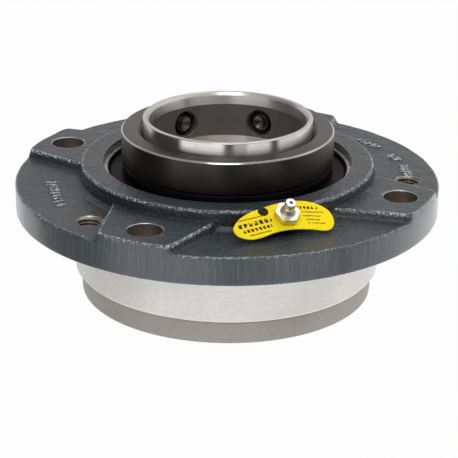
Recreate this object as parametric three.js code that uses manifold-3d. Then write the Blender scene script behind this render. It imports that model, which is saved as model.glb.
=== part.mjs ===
// Piloted flange bearing unit: a cast four-bolt flange housing with a machined pilot, a double-row
// spherical roller bearing with an extended inner ring, a set-screw locking collar, floating
// labyrinth seals held by snap rings, and an inclined grease fitting with a tag under its hexagon.
// Millimetres, +Z up along the shaft axis; "front" is the +Z side and "rear" the -Z side.
// Heights are measured from the flange's mounting face. The finished meshes are raised by
// MOUNTING_FACE_Z, which puts the origin on the axis in the plane of the skirt's lower end.
import * as THREE from "three";
import { mergeVertices } from "three/addons/utils/BufferGeometryUtils.js";
import Module from "manifold-3d";

const wasm = await Module();
wasm.setup();

const radians = THREE.MathUtils.degToRad;

// ---------- shared dimensions ----------
const SKIRT_END = -58.0;
const MOUNTING_FACE_Z = -SKIRT_END;
const SHAFT_R = 50.0;
const RACE_Z = -5.0; // centre of the spherical raceway
const RACE_HALF_WIDTH = 46.0 / 2;
const LAND_R = 57.5; // inner ring's lands, under the seals
const CONTACT_ANGLE = radians(10.5);
const PIN = { circleR: 86.0, angle: 90, radius: 2.0, top: 23.9 }; // anti-rotation pin
const SCREW = { z: 39.8, radius: 7.7, tip: 51.8, out: 69.1, angles: [43.8, 103.7] };
const FITTING = { x: -1.1, radius: 102.2, z: 27.1, tilt: radians(32) };
const SEGMENTS = { body: 52, race: 48, ring: 40, thin: 36, cage: 32 };

// ---------- materials ----------
const MATERIALS = {
  paint: { color: 0x4b5658, roughness: 0.55, metalness: 0.1 },
  blacked: { color: 0x2b2a29, roughness: 0.35, metalness: 0.8 },
  ground: { color: 0xb9b6b2, roughness: 0.25, metalness: 1.0 },
  bearing: { color: 0xc6c6c8, roughness: 0.18, metalness: 1.0 },
  brass: { color: 0xb5913f, roughness: 0.35, metalness: 1.0 },
  spring: { color: 0x6f6d6a, roughness: 0.4, metalness: 0.9 },
  case: { color: 0x1d1d1c, roughness: 0.4, metalness: 0.6 },
  rubber: { color: 0x141414, roughness: 0.7, metalness: 0.0 },
  zinc: { color: 0xd2cfc0, roughness: 0.3, metalness: 1.0 },
  tag: { color: 0xf5dc12, roughness: 0.45, metalness: 0.0 },
};

// ---------- geometry helpers ----------
// positions only, with coincident vertices welded
function weld(geometry) {
  const source = geometry.index ? geometry.toNonIndexed() : geometry;
  const bare = new THREE.BufferGeometry();
  bare.setAttribute("position", source.getAttribute("position").clone());
  return mergeVertices(bare, 1e-4);
}

function turnInsideOut(geometry) {
  const flipped = weld(geometry);
  const index = flipped.index.array;
  for (let i = 0; i < index.length; i += 3) {
    [index[i + 1], index[i + 2]] = [index[i + 2], index[i + 1]];
  }
  return flipped;
}

function toSolid(geometry, frame) {
  const welded = weld(geometry);
  if (frame) welded.applyMatrix4(frame);
  const solid = new wasm.Manifold(new wasm.Mesh({
    numProp: 3,
    vertProperties: new Float32Array(welded.attributes.position.array),
    triVerts: new Uint32Array(welded.index.array),
  }));
  return solid.volume() < 0 ? toSolid(turnInsideOut(geometry), frame) : solid;
}

function toGeometry(solid) {
  const mesh = solid.getMesh();
  const geometry = new THREE.BufferGeometry();
  const positions = new Float32Array(mesh.vertProperties);
  geometry.setAttribute("position", new THREE.BufferAttribute(positions, 3));
  geometry.setIndex(new THREE.BufferAttribute(new Uint32Array(mesh.triVerts), 1));
  geometry.computeVertexNormals();
  return geometry;
}

// profile: [radius, z] points, turned about Z; it is closed unless both ends lie on the axis
function lathe(profile, segments) {
  const points = profile.map(([r, z]) => new THREE.Vector2(r, z));
  if (profile[0][0] > 1e-6 || profile.at(-1)[0] > 1e-6) points.push(points[0].clone());
  return new THREE.LatheGeometry(points, segments).rotateX(Math.PI / 2); // lathe axis Y to Z
}

const turned = (profile, segments, frame) => toSolid(lathe(profile, segments), frame);

const cylinder = (radius, z0, z1, segments, frame) =>
  turned([[0, z0], [radius, z0], [radius, z1], [0, z1]], segments, frame);

// rectangular section turned about Z
const annulus = (r0, r1, z0, z1, segments) =>
  turned([[r0, z0], [r1, z0], [r1, z1], [r0, z1]], segments);

// ---------- frames; angles in degrees, anticlockwise from +X ----------
const polar = (r, angle, z) =>
  new THREE.Vector3(r * Math.cos(radians(angle)), r * Math.sin(radians(angle)), z);

const uprightFrame = (r, angle) => new THREE.Matrix4().setPosition(polar(r, angle, 0));

// a frame at `origin` whose Z runs along `direction`
function frameAlong(direction, origin) {
  const up = new THREE.Vector3(0, 0, 1);
  const turn = new THREE.Quaternion().setFromUnitVectors(up, direction.clone().normalize());
  return new THREE.Matrix4().compose(origin, turn, new THREE.Vector3(1, 1, 1));
}

// a frame on the shaft axis whose Z points outwards
const radialFrame = (angle, z) => frameAlong(polar(1, angle, 0), new THREE.Vector3(0, 0, z));

// the grease fitting's frame: X along +X, Y inwards and up in the tag's plane, Z along the fitting
function makeFittingFrame() {
  const { x, radius, z, tilt } = FITTING;
  const xAxis = new THREE.Vector3(1, 0, 0);
  const zAxis = new THREE.Vector3(0, -Math.sin(tilt), Math.cos(tilt));
  const yAxis = new THREE.Vector3().crossVectors(zAxis, xAxis);
  return new THREE.Matrix4().makeBasis(xAxis, yAxis, zAxis).setPosition(x, -radius, z);
}
const fittingFrame = makeFittingFrame();
const inFitting = (local) => fittingFrame.clone().multiply(local);

// ---------- assembly ----------
const group = new THREE.Group();
group.name = "flange_mount_bearing";

function add(name, shape, material) {
  const geometry = shape instanceof THREE.BufferGeometry ? shape : toGeometry(shape);
  geometry.translate(0, 0, MOUNTING_FACE_Z);
  const mesh = new THREE.Mesh(geometry, new THREE.MeshStandardMaterial(MATERIALS[material]));
  mesh.name = name;
  group.add(mesh);
}

// ---------- housing ----------
const FLANGE = { radius: 139.0, top: 18.2, chamfer: 0.8 };
const BOSS = { radius: 95.6, top: 30.3 };
const OPENING_R = 81.5; // front opening, also the front seal's seat
const PILOT = { radius: 100.9, end: -42.1, chamfer: 1.2 };
const SKIRT = { topR: 97.4, endR: 96.6 };
const SEAT = { radius: 90.15, top: 18.3, clearR: 94.0 }; // bearing seat; clearR: castings stop here
const BOLT_HOLES = { circleR: 119.9, radius: 11.0, angles: [45, 135, 225, 315] };
const JACK_HOLES = { circleR: 118.9, radius: 8.2, chamfer: 1.5, angles: [203.9, 336.4] };
const CUT_BOTTOM = -2; // flange hole cutters run from here to CUT_TOP
const CUT_TOP = 26;

const HOUSING_PROFILE = [
  // skirt and pilot
  [SEAT.radius, SKIRT_END], [SKIRT.endR, SKIRT_END], [SKIRT.topR, PILOT.end],
  [PILOT.radius - PILOT.chamfer, PILOT.end], [PILOT.radius, PILOT.end + PILOT.chamfer],
  [PILOT.radius, 0],
  // flange and boss
  [FLANGE.radius, 0], [FLANGE.radius, FLANGE.top - FLANGE.chamfer],
  [FLANGE.radius - FLANGE.chamfer, FLANGE.top],
  [100.6, FLANGE.top], [97.6, 20.4], [BOSS.radius + 0.5, 28.6], [BOSS.radius - 1.2, BOSS.top],
  // front opening with its snap ring groove
  [OPENING_R, BOSS.top], [OPENING_R, 26.4], [84.0, 26.4], [84.0, 23.7], [OPENING_R, 23.7],
  // bearing seat with the grease groove and the rear snap ring groove
  [OPENING_R, SEAT.top], [SEAT.radius, SEAT.top],
  [SEAT.radius, 10.0], [92.4, 10.0], [92.4, -8.0], [SEAT.radius, -8.0],
  [SEAT.radius, -34.3], [93.0, -34.3], [93.0, -37.6], [SEAT.radius, -37.6],
];

// raised bolt pads from the boss to the rim: each side runs straight between two radii
const PAD = { bottom: 8, top: 23.2, innerR: 88, outerR: 137, corner: 4, trimR: 86.5, trimZ: 1 };
const PADS = [
  // angle, then half widths: anticlockwise side inner and outer, clockwise side inner and outer
  [45, 33.7, 26.1, 33.7, 24.6],
  [135, 33.7, 23.7, 33.7, 26.1],
  [225, 32.6, 24.1, 37.6, 23.5],
  [315, 30.4, 19.9, 37.8, 26.7],
];

function boltPad([angle, leftInner, leftOuter, rightInner, rightOuter]) {
  const { bottom, top, innerR, outerR, corner } = PAD;
  // one side, from the boss out past the rim, with its corner cut off
  const side = (inner, outer) => [
    [innerR, inner],
    [outerR - corner, outer + 0.8],
    [outerR + 1, outer - corner],
    [FLANGE.radius + 3, outer - corner - 1.5],
  ];
  const right = side(rightInner, rightOuter).map(([x, y]) => [x, -y]).reverse();
  const outline = [...side(leftInner, leftOuter), ...right];
  const shape = new THREE.Shape(outline.map(([x, y]) => new THREE.Vector2(x, y)));
  const geometry = new THREE.ExtrudeGeometry(shape, { depth: top - bottom, bevelEnabled: false });
  return toSolid(geometry.translate(0, 0, bottom).rotateZ(radians(angle)));
}

function boltPads() {
  const rim = turned([
    [PAD.trimR, PAD.trimZ], [FLANGE.radius, PAD.trimZ],
    [FLANGE.radius, PAD.top - FLANGE.chamfer], [FLANGE.radius - FLANGE.chamfer, PAD.top],
    [PAD.trimR, PAD.top],
  ], SEGMENTS.body);
  return PADS.map(boltPad)
    .reduce((all, pad) => all.add(pad))
    .intersect(rim)
    .subtract(cylinder(SEAT.clearR, -1, 40, SEGMENTS.body));
}

function fittingBoss() {
  return cylinder(8.6, -15, -0.3, 24, fittingFrame)
    .subtract(cylinder(SEAT.clearR, -1, 29, SEGMENTS.body));
}

function housing() {
  let body = turned(HOUSING_PROFILE, SEGMENTS.body).add(boltPads()).add(fittingBoss());
  for (const angle of BOLT_HOLES.angles) {
    const frame = uprightFrame(BOLT_HOLES.circleR, angle);
    body = body.subtract(cylinder(BOLT_HOLES.radius, CUT_BOTTOM, CUT_TOP, 28, frame));
  }
  // jacking holes, chamfered at the top
  const { radius, chamfer } = JACK_HOLES;
  const jackProfile = [
    [0, CUT_BOTTOM], [radius, CUT_BOTTOM], [radius, FLANGE.top - 1.2],
    [radius + chamfer, FLANGE.top + 0.3], [radius + chamfer, CUT_TOP], [0, CUT_TOP],
  ];
  for (const angle of JACK_HOLES.angles) {
    body = body.subtract(turned(jackProfile, 20, uprightFrame(JACK_HOLES.circleR, angle)));
  }
  // grease hole: wide at its mouth, then drilled into the groove behind the outer race
  body = body.subtract(cylinder(5.2, -12.6, 3, 16, fittingFrame));
  body = body.subtract(cylinder(2.4, -21.0, -12, 10, fittingFrame));
  // blind hole for the anti-rotation pin, open towards the outer race
  return body.subtract(cylinder(2.35, 17.5, 24.4, 12, uprightFrame(PIN.circleR, PIN.angle)));
}

// ---------- outer race and its pin ----------
const RACE_OD_R = 89.85;
const RACE_CHAMFER = 1.4;
const RACE_MOUTH_CHAMFER = 0.9;
const SPHERE_R = 80.25;
const SPHERE_STATIONS = [-21.5, -14.4, -7.2, 0, 7.2, 14.4, 21.5]; // z from the raceway centre
const RACE_FRONT = RACE_Z + RACE_HALF_WIDTH;
const RACE_REAR = RACE_Z - RACE_HALF_WIDTH;

function outerRace() {
  const raceway = SPHERE_STATIONS.map((z) => [Math.sqrt(SPHERE_R ** 2 - z * z), RACE_Z + z]);
  const mouthR = raceway[0][0] + RACE_MOUTH_CHAMFER;
  let race = turned([
    [mouthR, RACE_REAR], [RACE_OD_R - RACE_CHAMFER, RACE_REAR],
    [RACE_OD_R, RACE_REAR + RACE_CHAMFER], [RACE_OD_R, RACE_FRONT - RACE_CHAMFER],
    [RACE_OD_R - RACE_CHAMFER, RACE_FRONT], [mouthR, RACE_FRONT],
    ...raceway.reverse(),
  ], SEGMENTS.race);
  for (const angle of [30, 150, 270]) { // radial holes
    race = race.subtract(cylinder(1.8, 70, 95, 8, radialFrame(angle, RACE_Z)));
  }
  const pinFrame = uprightFrame(PIN.circleR, PIN.angle);
  return race.subtract(cylinder(2.45, RACE_FRONT - 4.2, RACE_FRONT + 2, 12, pinFrame));
}

const antiRotationPin = () =>
  cylinder(PIN.radius, RACE_FRONT - 3.8, PIN.top, 12, uprightFrame(PIN.circleR, PIN.angle));

// ---------- rollers ----------
const ROLLER = { radius: 10.5, halfLength: 19.0 / 2, crownR: 76.0, perRow: 16 };
const PITCH_R = 68.14; // roller centre from the shaft axis
const ROW_Z = 12.63; // roller centre from the raceway centre
const COS_CONTACT = Math.cos(CONTACT_ANGLE);
const SIN_CONTACT = Math.sin(CONTACT_ANGLE);

// crowned radius at a distance along the roller from its centre
const rollerRadius = (along) => ROLLER.radius - (along * along) / (2 * ROLLER.crownR);

// row: +1 front, -1 rear; the rear row is turned by half a roller spacing
function rollerFrame(row, i) {
  const angle = ((i + (row < 0 ? 0.5 : 0)) * 360) / ROLLER.perRow;
  const axis = polar(-row * SIN_CONTACT, angle, COS_CONTACT);
  return frameAlong(axis, polar(PITCH_R, angle, RACE_Z + row * ROW_Z));
}

function roller(row, i) {
  const { radius, halfLength } = ROLLER;
  const endR = rollerRadius(halfLength);
  const profile = [
    [0, -halfLength], [endR, -halfLength], [radius, 0], [endR, halfLength], [0, halfLength],
  ];
  return weld(lathe(profile, 10)).applyMatrix4(rollerFrame(row, i));
}

function addRollers() {
  for (const [row, label] of [[1, "front"], [-1, "rear"]]) {
    for (let i = 0; i < ROLLER.perRow; i++) {
      add(`roller_${label}_${String(i + 1).padStart(2, "0")}`, roller(row, i), "bearing");
    }
  }
}

// ---------- inner ring ----------
const RING = { radius: 55.4, top: 59.5, end: -35.5, chamfer: 0.9, ribR: 59.2 };
const TRACK_GAP = 0.35; // between rollers and inner raceway
const TRACK_STATIONS = [-9.9, 0, 9.9]; // along the roller from its centre

// point of the front row's inner raceway, z from the raceway centre
function trackPoint(along) {
  const reach = rollerRadius(along) + TRACK_GAP;
  return [
    PITCH_R - SIN_CONTACT * along - COS_CONTACT * reach,
    ROW_Z + COS_CONTACT * along - SIN_CONTACT * reach,
  ];
}

function innerRing() {
  const track = TRACK_STATIONS.map(trackPoint);
  const ribZ = track[2][1] + 0.5;
  let ring = turned([
    [SHAFT_R, 51.6], [SHAFT_R + 2.1, RING.top],
    [RING.radius - RING.chamfer, RING.top], [RING.radius, RING.top - RING.chamfer],
    [RING.radius, 30.0], [LAND_R, 29.7],
    [LAND_R, RACE_FRONT + 0.6], [RING.ribR, RACE_FRONT - 0.6], [RING.ribR, RACE_Z + ribZ],
    ...track.map(([r, z]) => [r, RACE_Z + z]).reverse(),
    ...track.map(([r, z]) => [r, RACE_Z - z]),
    [RING.ribR, RACE_Z - ribZ], [RING.ribR, RACE_REAR + 0.6], [LAND_R, RACE_REAR - 0.6],
    [LAND_R, RING.end], [SHAFT_R + 1.2, RING.end], [SHAFT_R, RING.end + 1.2],
  ], SEGMENTS.ring);
  for (const angle of SCREW.angles) {
    ring = ring.subtract(cylinder(8.9, 40, 62, 16, radialFrame(angle, SCREW.z)));
  }
  return ring;
}

// ---------- cage and guide ring ----------
const CAGE = { halfThickness: 2.6, endZ: 20.8, middleZ: 4, pocketR: 11.1 };

// double-pronged cage: a centre ring, with prongs between the rollers of both rows
function cage() {
  const { halfThickness, endZ, middleZ, pocketR } = CAGE;
  const pitchConeR = (z) => PITCH_R - (z - ROW_Z) * Math.tan(CONTACT_ANGLE);
  const endR = pitchConeR(endZ);
  const middleR = pitchConeR(middleZ);
  let body = turned([
    [endR - halfThickness, RACE_Z - endZ], [endR + halfThickness, RACE_Z - endZ],
    [middleR + halfThickness, RACE_Z - middleZ], [middleR + halfThickness, RACE_Z + middleZ],
    [endR + halfThickness, RACE_Z + endZ], [endR - halfThickness, RACE_Z + endZ],
    [middleR - halfThickness, RACE_Z + middleZ], [middleR - halfThickness, RACE_Z - middleZ],
  ], SEGMENTS.cage);
  for (const row of [1, -1]) {
    // each pocket stops short at the middle and runs out through the cage's end
    const [z0, z1] = row > 0 ? [-9.9, 16] : [-16, 9.9];
    for (let i = 0; i < ROLLER.perRow; i++) {
      body = body.subtract(cylinder(pocketR, z0, z1, 12, rollerFrame(row, i)));
    }
  }
  return body;
}

// wedge section that fills the space between the two rows' roller ends
function guideRing() {
  const innerR = 60.3;
  const outerR = 66.2;
  const gap = 0.5;
  const rollerEnd = { r: 60.13, z: 1.49 }; // inner corner of a roller end, z from raceway centre
  const halfWidth = (r) => rollerEnd.z + (r - rollerEnd.r) * Math.tan(CONTACT_ANGLE) - gap;
  return turned([
    [innerR, RACE_Z - halfWidth(innerR)], [outerR, RACE_Z - halfWidth(outerR)],
    [outerR, RACE_Z + halfWidth(outerR)], [innerR, RACE_Z + halfWidth(innerR)],
  ], SEGMENTS.thin);
}

// ---------- seals, flinger and snap rings ----------
const SEAL_BORE_R = LAND_R + 0.4;
const CASE_BORE_R = 63.5;
const FRONT_CASE_PROFILE = [
  [CASE_BORE_R, 22.1], [79.4, 22.1], [79.4, 18.6],
  [81.2, 18.6], [81.2, 23.4], [CASE_BORE_R, 23.4],
];
const REAR_CASE_PROFILE = [
  [CASE_BORE_R, -33.9], [89.8, -33.9], [89.8, -28.4],
  [87.8, -28.4], [87.8, -32.5], [CASE_BORE_R, -32.5],
];
const FLINGER_PROFILE = [
  [SEAL_BORE_R, 24.9], [60.0, 24.9], [60.0, 27.9], [67.2, 27.9],
  [67.2, 25.4], [69.0, 25.4], [69.0, 29.7], [SEAL_BORE_R, 29.7],
];

// L section: a disc at z with a sleeve running on towards `side` (+1 front, -1 rear)
function sealLip(side, z) {
  const discZ = z + side * 1.4;
  const sleeveZ = z + side * 4.4;
  return turned([
    [SEAL_BORE_R, z], [73.0, z], [73.0, discZ],
    [61.8, discZ], [61.8, sleeveZ], [SEAL_BORE_R, sleeveZ],
  ], SEGMENTS.thin);
}

function snapRing({ innerR, outerR, z0, z1, gapAngle, eyeR }) {
  const gapWidth = 7;
  const gap = new THREE.BoxGeometry(40, gapWidth, 10)
    .translate((innerR + outerR) / 2, 0, (z0 + z1) / 2)
    .rotateZ(radians(gapAngle));
  let ring = annulus(innerR, outerR, z0, z1, SEGMENTS.ring).subtract(toSolid(gap));
  for (const side of [-1, 1]) { // eyes for the pliers
    const turn = THREE.MathUtils.radToDeg((gapWidth / 2 + eyeR) / innerR);
    const frame = uprightFrame(innerR + 0.9, gapAngle + side * turn);
    ring = ring.add(cylinder(eyeR, z0, z1, 10, frame))
      .subtract(cylinder(1.3, z0 - 1, z1 + 1, 6, frame));
  }
  return ring;
}

const FRONT_SNAP = { innerR: 78.6, outerR: 83.6, z0: 24.0, z1: 26.1, gapAngle: 90, eyeR: 3.1 };
const REAR_SNAP = { innerR: 86.0, outerR: 92.6, z0: -37.2, z1: -34.6, gapAngle: 270, eyeR: 3.72 };

// ---------- locking collar and set screws ----------
const COLLAR = { radius: 69.5, boreR: 55.7, top: 51.6, end: 30.1, boreChamfer: 3.4 };

function lockingCollar() {
  const { radius, boreR, top, end, boreChamfer } = COLLAR;
  let collar = turned([
    [boreR, end], [radius - 1.0, end], [radius, end + 1.0],
    [radius, top - 0.9], [radius - 0.9, top],
    [boreR + boreChamfer, top], [boreR, top - boreChamfer],
  ], SEGMENTS.race);
  for (const angle of SCREW.angles) {
    const hole = cylinder(SCREW.radius + 0.35, 50, 80, 16, radialFrame(angle, SCREW.z));
    collar = collar.subtract(hole);
  }
  return collar;
}

// along the screw's own axis, outwards: cup point, body, hexagon socket
function setScrew(angle) {
  const { radius, tip, out, z } = SCREW;
  const frame = radialFrame(angle, z);
  return turned([
    [0, tip + 2.6], [4.4, tip], [5.6, tip], [radius, tip + 2.2],
    [radius, out - 0.8], [radius - 0.8, out], [0, out],
  ], 16, frame).subtract(cylinder(4.58, out - 7.5, out + 3, 6, frame));
}

// ---------- grease fitting, in the fitting's frame ----------
const HEX = { cornerR: 8.0, z0: 1.2, z1: 5.5, turn: -6 }; // turn: degrees of a corner from +X
const SPRING = { coilR: 1.15, wireR: 0.22, turns: 5, start: 1.0, length: 9.1 };
const FITTING_PROFILE = [
  [0, -11.0], [4.9, -11.0], [4.9, 5.9], [3.6, 8.4], [2.9, 9.1], [2.9, 10.2],
  [3.35, 11.2], [3.35, 13.0], [2.7, 14.3], [0, 14.3],
];
const FITTING_BORE_PROFILE = [
  [0, -13], [1.7, -13], [1.7, 13.1], [0.95, 13.7], [0.95, 15.8], [0, 15.8],
];

function greaseFitting() {
  // a turned hexagon has corners at 30 degrees either side of +X
  const hexFrame = inFitting(new THREE.Matrix4().makeRotationZ(radians(HEX.turn + 30)));
  return turned(FITTING_PROFILE, 16, fittingFrame)
    .add(cylinder(HEX.cornerR, HEX.z0, HEX.z1, 6, hexFrame))
    .subtract(turned(FITTING_BORE_PROFILE, 8, fittingFrame));
}

const checkBall = () =>
  weld(new THREE.SphereGeometry(1.3, 8, 6))
    .applyMatrix4(inFitting(new THREE.Matrix4().makeTranslation(0, 0, 11.8)));

class Helix extends THREE.Curve {
  getPoint(t, target = new THREE.Vector3()) {
    const { coilR, turns, start, length } = SPRING;
    const angle = t * Math.PI * 2 * turns;
    return target.set(coilR * Math.cos(angle), coilR * Math.sin(angle), start + t * length);
  }
}

function fittingSpring() {
  const wire = new THREE.Shape().absarc(0, 0, SPRING.wireR, 0, Math.PI * 2, false);
  return toSolid(new THREE.ExtrudeGeometry(wire, {
    steps: 36,
    bevelEnabled: false,
    extrudePath: new Helix(),
    curveSegments: 1.5, // an arc gets twice this many: a three-sided wire
  }), fittingFrame);
}

// ---------- identification tag ----------
const TAG = { thickness: 0.8, holeR: 5.3, z: 0.05 };
// x from the shaft axis, and distance outwards and down the tag's plane from the fitting
const TAG_OUTLINE = [
  [-36.2, 3.45], [-36.0, 8.75], [-32.5, 11.9], [-27.4, 13.5], [-20.8, 13.0], [-13.7, 11.15],
  [-7.0, 10.15], [-0.4, 10.1], [5.85, 10.85], [12.0, 12.05], [17.9, 13.75], [23.0, 13.9],
  [26.9, 10.3], [28.0, 4.35], [26.5, -0.9], [22.1, -5.45], [16.0, -8.75], [9.2, -10.35],
  [1.4, -10.55], [-6.8, -9.7], [-15.1, -8.05], [-23.5, -5.7], [-30.5, -2.3],
];

function nameTag() {
  const outline = TAG_OUTLINE.map(([x, down]) => new THREE.Vector2(x - FITTING.x, -down));
  const shape = new THREE.Shape(outline);
  shape.holes.push(new THREE.Path().absarc(0, 0, TAG.holeR, 0, Math.PI * 2, true));
  const options = { depth: TAG.thickness, bevelEnabled: false, curveSegments: 8 };
  const frame = inFitting(new THREE.Matrix4().makeTranslation(0, 0, TAG.z));
  return toSolid(new THREE.ExtrudeGeometry(shape, options), frame);
}

// ---------- pieces ----------
add("housing", housing(), "paint");
add("outer_race", outerRace(), "bearing");
add("anti_rotation_pin", antiRotationPin(), "ground");
add("inner_ring", innerRing(), "ground");
addRollers();
add("cage", cage(), "brass");
add("guide_ring", guideRing(), "bearing");
add("front_seal_case", turned(FRONT_CASE_PROFILE, SEGMENTS.ring), "case");
add("rear_seal_case", turned(REAR_CASE_PROFILE, SEGMENTS.ring), "case");
add("front_seal_lip", sealLip(1, 18.9), "rubber");
add("rear_seal_lip", sealLip(-1, -28.9), "rubber");
add("flinger", turned(FLINGER_PROFILE, SEGMENTS.thin), "case");
add("front_snap_ring", snapRing(FRONT_SNAP), "spring");
add("rear_snap_ring", snapRing(REAR_SNAP), "spring");
add("locking_collar", lockingCollar(), "blacked");
add("set_screw_a", setScrew(SCREW.angles[0]), "blacked");
add("set_screw_b", setScrew(SCREW.angles[1]), "blacked");
add("grease_fitting", greaseFitting(), "zinc");
add("fitting_check_ball", checkBall(), "bearing");
add("fitting_spring", fittingSpring(), "ground");
add("name_tag", nameTag(), "tag");

export default group;
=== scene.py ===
"""A round flanged bearing unit: cast housing, double-row roller bearing, locking collar with two
set screws, seals, snap rings, a grease fitting and a name tag.

The shaft axis is Z and the flange's mounting face looks down. Lengths are in mm, with z counted
from that face and angles in degrees anticlockwise from +X as seen from above. make() writes
metres and lifts everything by DATUM. "Front" is the upper, collar end of the bearing and "rear"
the lower end. Names that end in _R are radii.
"""
import bpy, bmesh, math
import numpy as np
from mathutils import Vector, Matrix, noise


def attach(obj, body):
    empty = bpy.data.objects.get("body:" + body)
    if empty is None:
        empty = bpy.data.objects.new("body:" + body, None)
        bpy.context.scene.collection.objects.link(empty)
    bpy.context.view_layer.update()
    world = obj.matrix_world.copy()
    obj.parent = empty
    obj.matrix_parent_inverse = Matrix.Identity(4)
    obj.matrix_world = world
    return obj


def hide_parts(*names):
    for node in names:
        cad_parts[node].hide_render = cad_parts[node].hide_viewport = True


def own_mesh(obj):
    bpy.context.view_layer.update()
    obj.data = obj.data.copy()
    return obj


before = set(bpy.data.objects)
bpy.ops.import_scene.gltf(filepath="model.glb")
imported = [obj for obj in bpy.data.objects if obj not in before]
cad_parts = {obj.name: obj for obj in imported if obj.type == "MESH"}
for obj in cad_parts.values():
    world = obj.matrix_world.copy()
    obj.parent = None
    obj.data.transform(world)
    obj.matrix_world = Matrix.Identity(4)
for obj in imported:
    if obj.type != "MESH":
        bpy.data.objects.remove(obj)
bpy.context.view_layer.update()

# ---------------------------------------------------------------- dimensions
DATUM = 58.0  # height of the mounting face in the scene
SHAFT_R = 50.0

# housing
FLANGE_R, FLANGE_TOP, PAD_TOP = 139.0, 18.2, 23.2
BOSS_R, BOSS_TOP, OPENING_R = 95.6, 30.3, 81.5
PILOT_R, PILOT_END = 100.9, -42.1
SKIRT_TOP_R, SKIRT_END_R, SKIRT_END = 97.4, 96.6, -58.0
SEAT_R = 90.15
BOLT_CIRCLE_R, BOLT_HOLE_R, BOLT_ANGLES = 119.9, 11.0, (45, 135, 225, 315)
JACK_CIRCLE_R, JACK_HOLE_R, JACK_ANGLES = 118.9, 8.2, (203.9, 336.4)
PIN_CIRCLE_R, PIN_ANGLE = 86.0, 90.0

# bearing
RACE_Z, RACE_WIDTH, RACE_R, SPHERE_R = -5.0, 46.0, 89.85, 80.25
RACE_HALF = RACE_WIDTH / 2
ROLLER_R, ROLLER_LENGTH, CROWN_R, ROLLERS = 10.5, 19.0, 76.0, 16
CONTACT = math.radians(10.5)  # tilt of the roller axes
CONTACT_COS, CONTACT_SIN = math.cos(CONTACT), math.sin(CONTACT)
PITCH_R, ROW_Z = 68.14, 12.63
RING_R, RING_TOP, RING_END, LAND_R = 55.4, 59.5, -35.5, 57.5
RACEWAY_EDGE_R = 59.2
PIN_R = 2.0

# collar and set screws
COLLAR_R, COLLAR_TOP, COLLAR_END, COLLAR_BORE = 69.5, 51.6, 30.1, 55.7
COLLAR_CHAMFER = 0.95
SCREW_Z, SCREW_R, SCREW_ANGLES = 39.8, 7.7, (43.8, 103.7)
SCREW_TIP, SCREW_OUT = 51.8, 69.1  # distances of the screw's ends from the shaft axis
COARSE_PITCH, FITTING_PITCH = 2.31, 0.94
SOCKET_FLAT = 4.0  # centre to flat of the screw's hexagon socket

# grease fitting
FIT_X, FIT_R, FIT_Z, FIT_TILT = -1.1, 102.2, 27.1, math.radians(32)
HEX_R, HEX_TURN = 8.0, -6.0


# ---------------------------------------------------------------- frames
def basis(x, y, z, origin):
    frame = Matrix((x, y, z)).transposed().to_4x4()
    frame.translation = origin
    return frame


def radial(angle):
    return Vector((math.cos(math.radians(angle)), math.sin(math.radians(angle)), 0))


def polar(radius, angle, z):
    angle = math.radians(angle)
    return Vector((radius * math.cos(angle), radius * math.sin(angle), z))


def along(direction, origin):
    """A frame at origin with its Z along direction."""
    turn = Vector((0, 0, 1)).rotation_difference(Vector(direction).normalized())
    return Matrix.Translation(Vector(origin)) @ turn.to_matrix().to_4x4()


def upright(radius, angle):
    return Matrix.Translation(polar(radius, angle, 0))


def spoke(angle, z):
    """A frame on the shaft axis at height z, with its Z pointing outward."""
    return along(radial(angle), Vector((0, 0, z)))


def fitting_frame(lift=0.0, scale=1.0):
    """The fitting's own frame: Z out along its axis, X the same as the scene's."""
    across = Vector((1, 0, 0))
    origin = Vector((FIT_X, -FIT_R, FIT_Z + lift)) * scale
    return basis(across, FIT_AXIS.cross(across), FIT_AXIS, origin)


FIT_AXIS = Vector((0, -math.sin(FIT_TILT), math.cos(FIT_TILT)))
FIT_FRAME = fitting_frame()
FIT_FRAME_METRES = fitting_frame(lift=DATUM, scale=0.001)


# ---------------------------------------------------------------- meshes
def add_object(name, data):
    ob = bpy.data.objects.new(name, data)
    bpy.context.scene.collection.objects.link(ob)
    return ob


def make(name, verts, faces, mats=(), frame=None, smooth=34.0):
    verts = np.asarray(verts, dtype=np.float64).reshape(-1, 3)
    if frame is not None:
        frame = np.array(frame)
        verts = verts @ frame[:3, :3].T + frame[:3, 3]
    mesh = bpy.data.meshes.new(name)
    mesh.from_pydata((verts * 0.001 + np.array([0.0, 0.0, DATUM * 0.001])).tolist(), [], faces)
    mesh.validate()
    mesh.update()
    ob = add_object(name, mesh)
    for mat in mats:
        mesh.materials.append(mat)
    turn_outward(mesh)
    soften(ob, smooth)
    return ob


def turn_outward(mesh):
    bm = bmesh.new()
    bm.from_mesh(mesh)
    bmesh.ops.remove_doubles(bm, verts=bm.verts, dist=2e-7)
    bmesh.ops.recalc_face_normals(bm, faces=bm.faces)
    if bm.calc_volume(signed=True) < 0:
        bmesh.ops.reverse_faces(bm, faces=bm.faces)
    bm.to_mesh(mesh)
    bm.free()


def soften(ob, angle):
    """Smooth shading, with edges sharper than the angle kept sharp."""
    mesh = ob.data
    mesh.polygons.foreach_set("use_smooth", [True] * len(mesh.polygons))
    mesh.set_sharp_from_angle(angle=math.radians(angle))
    mesh.update()


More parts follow.
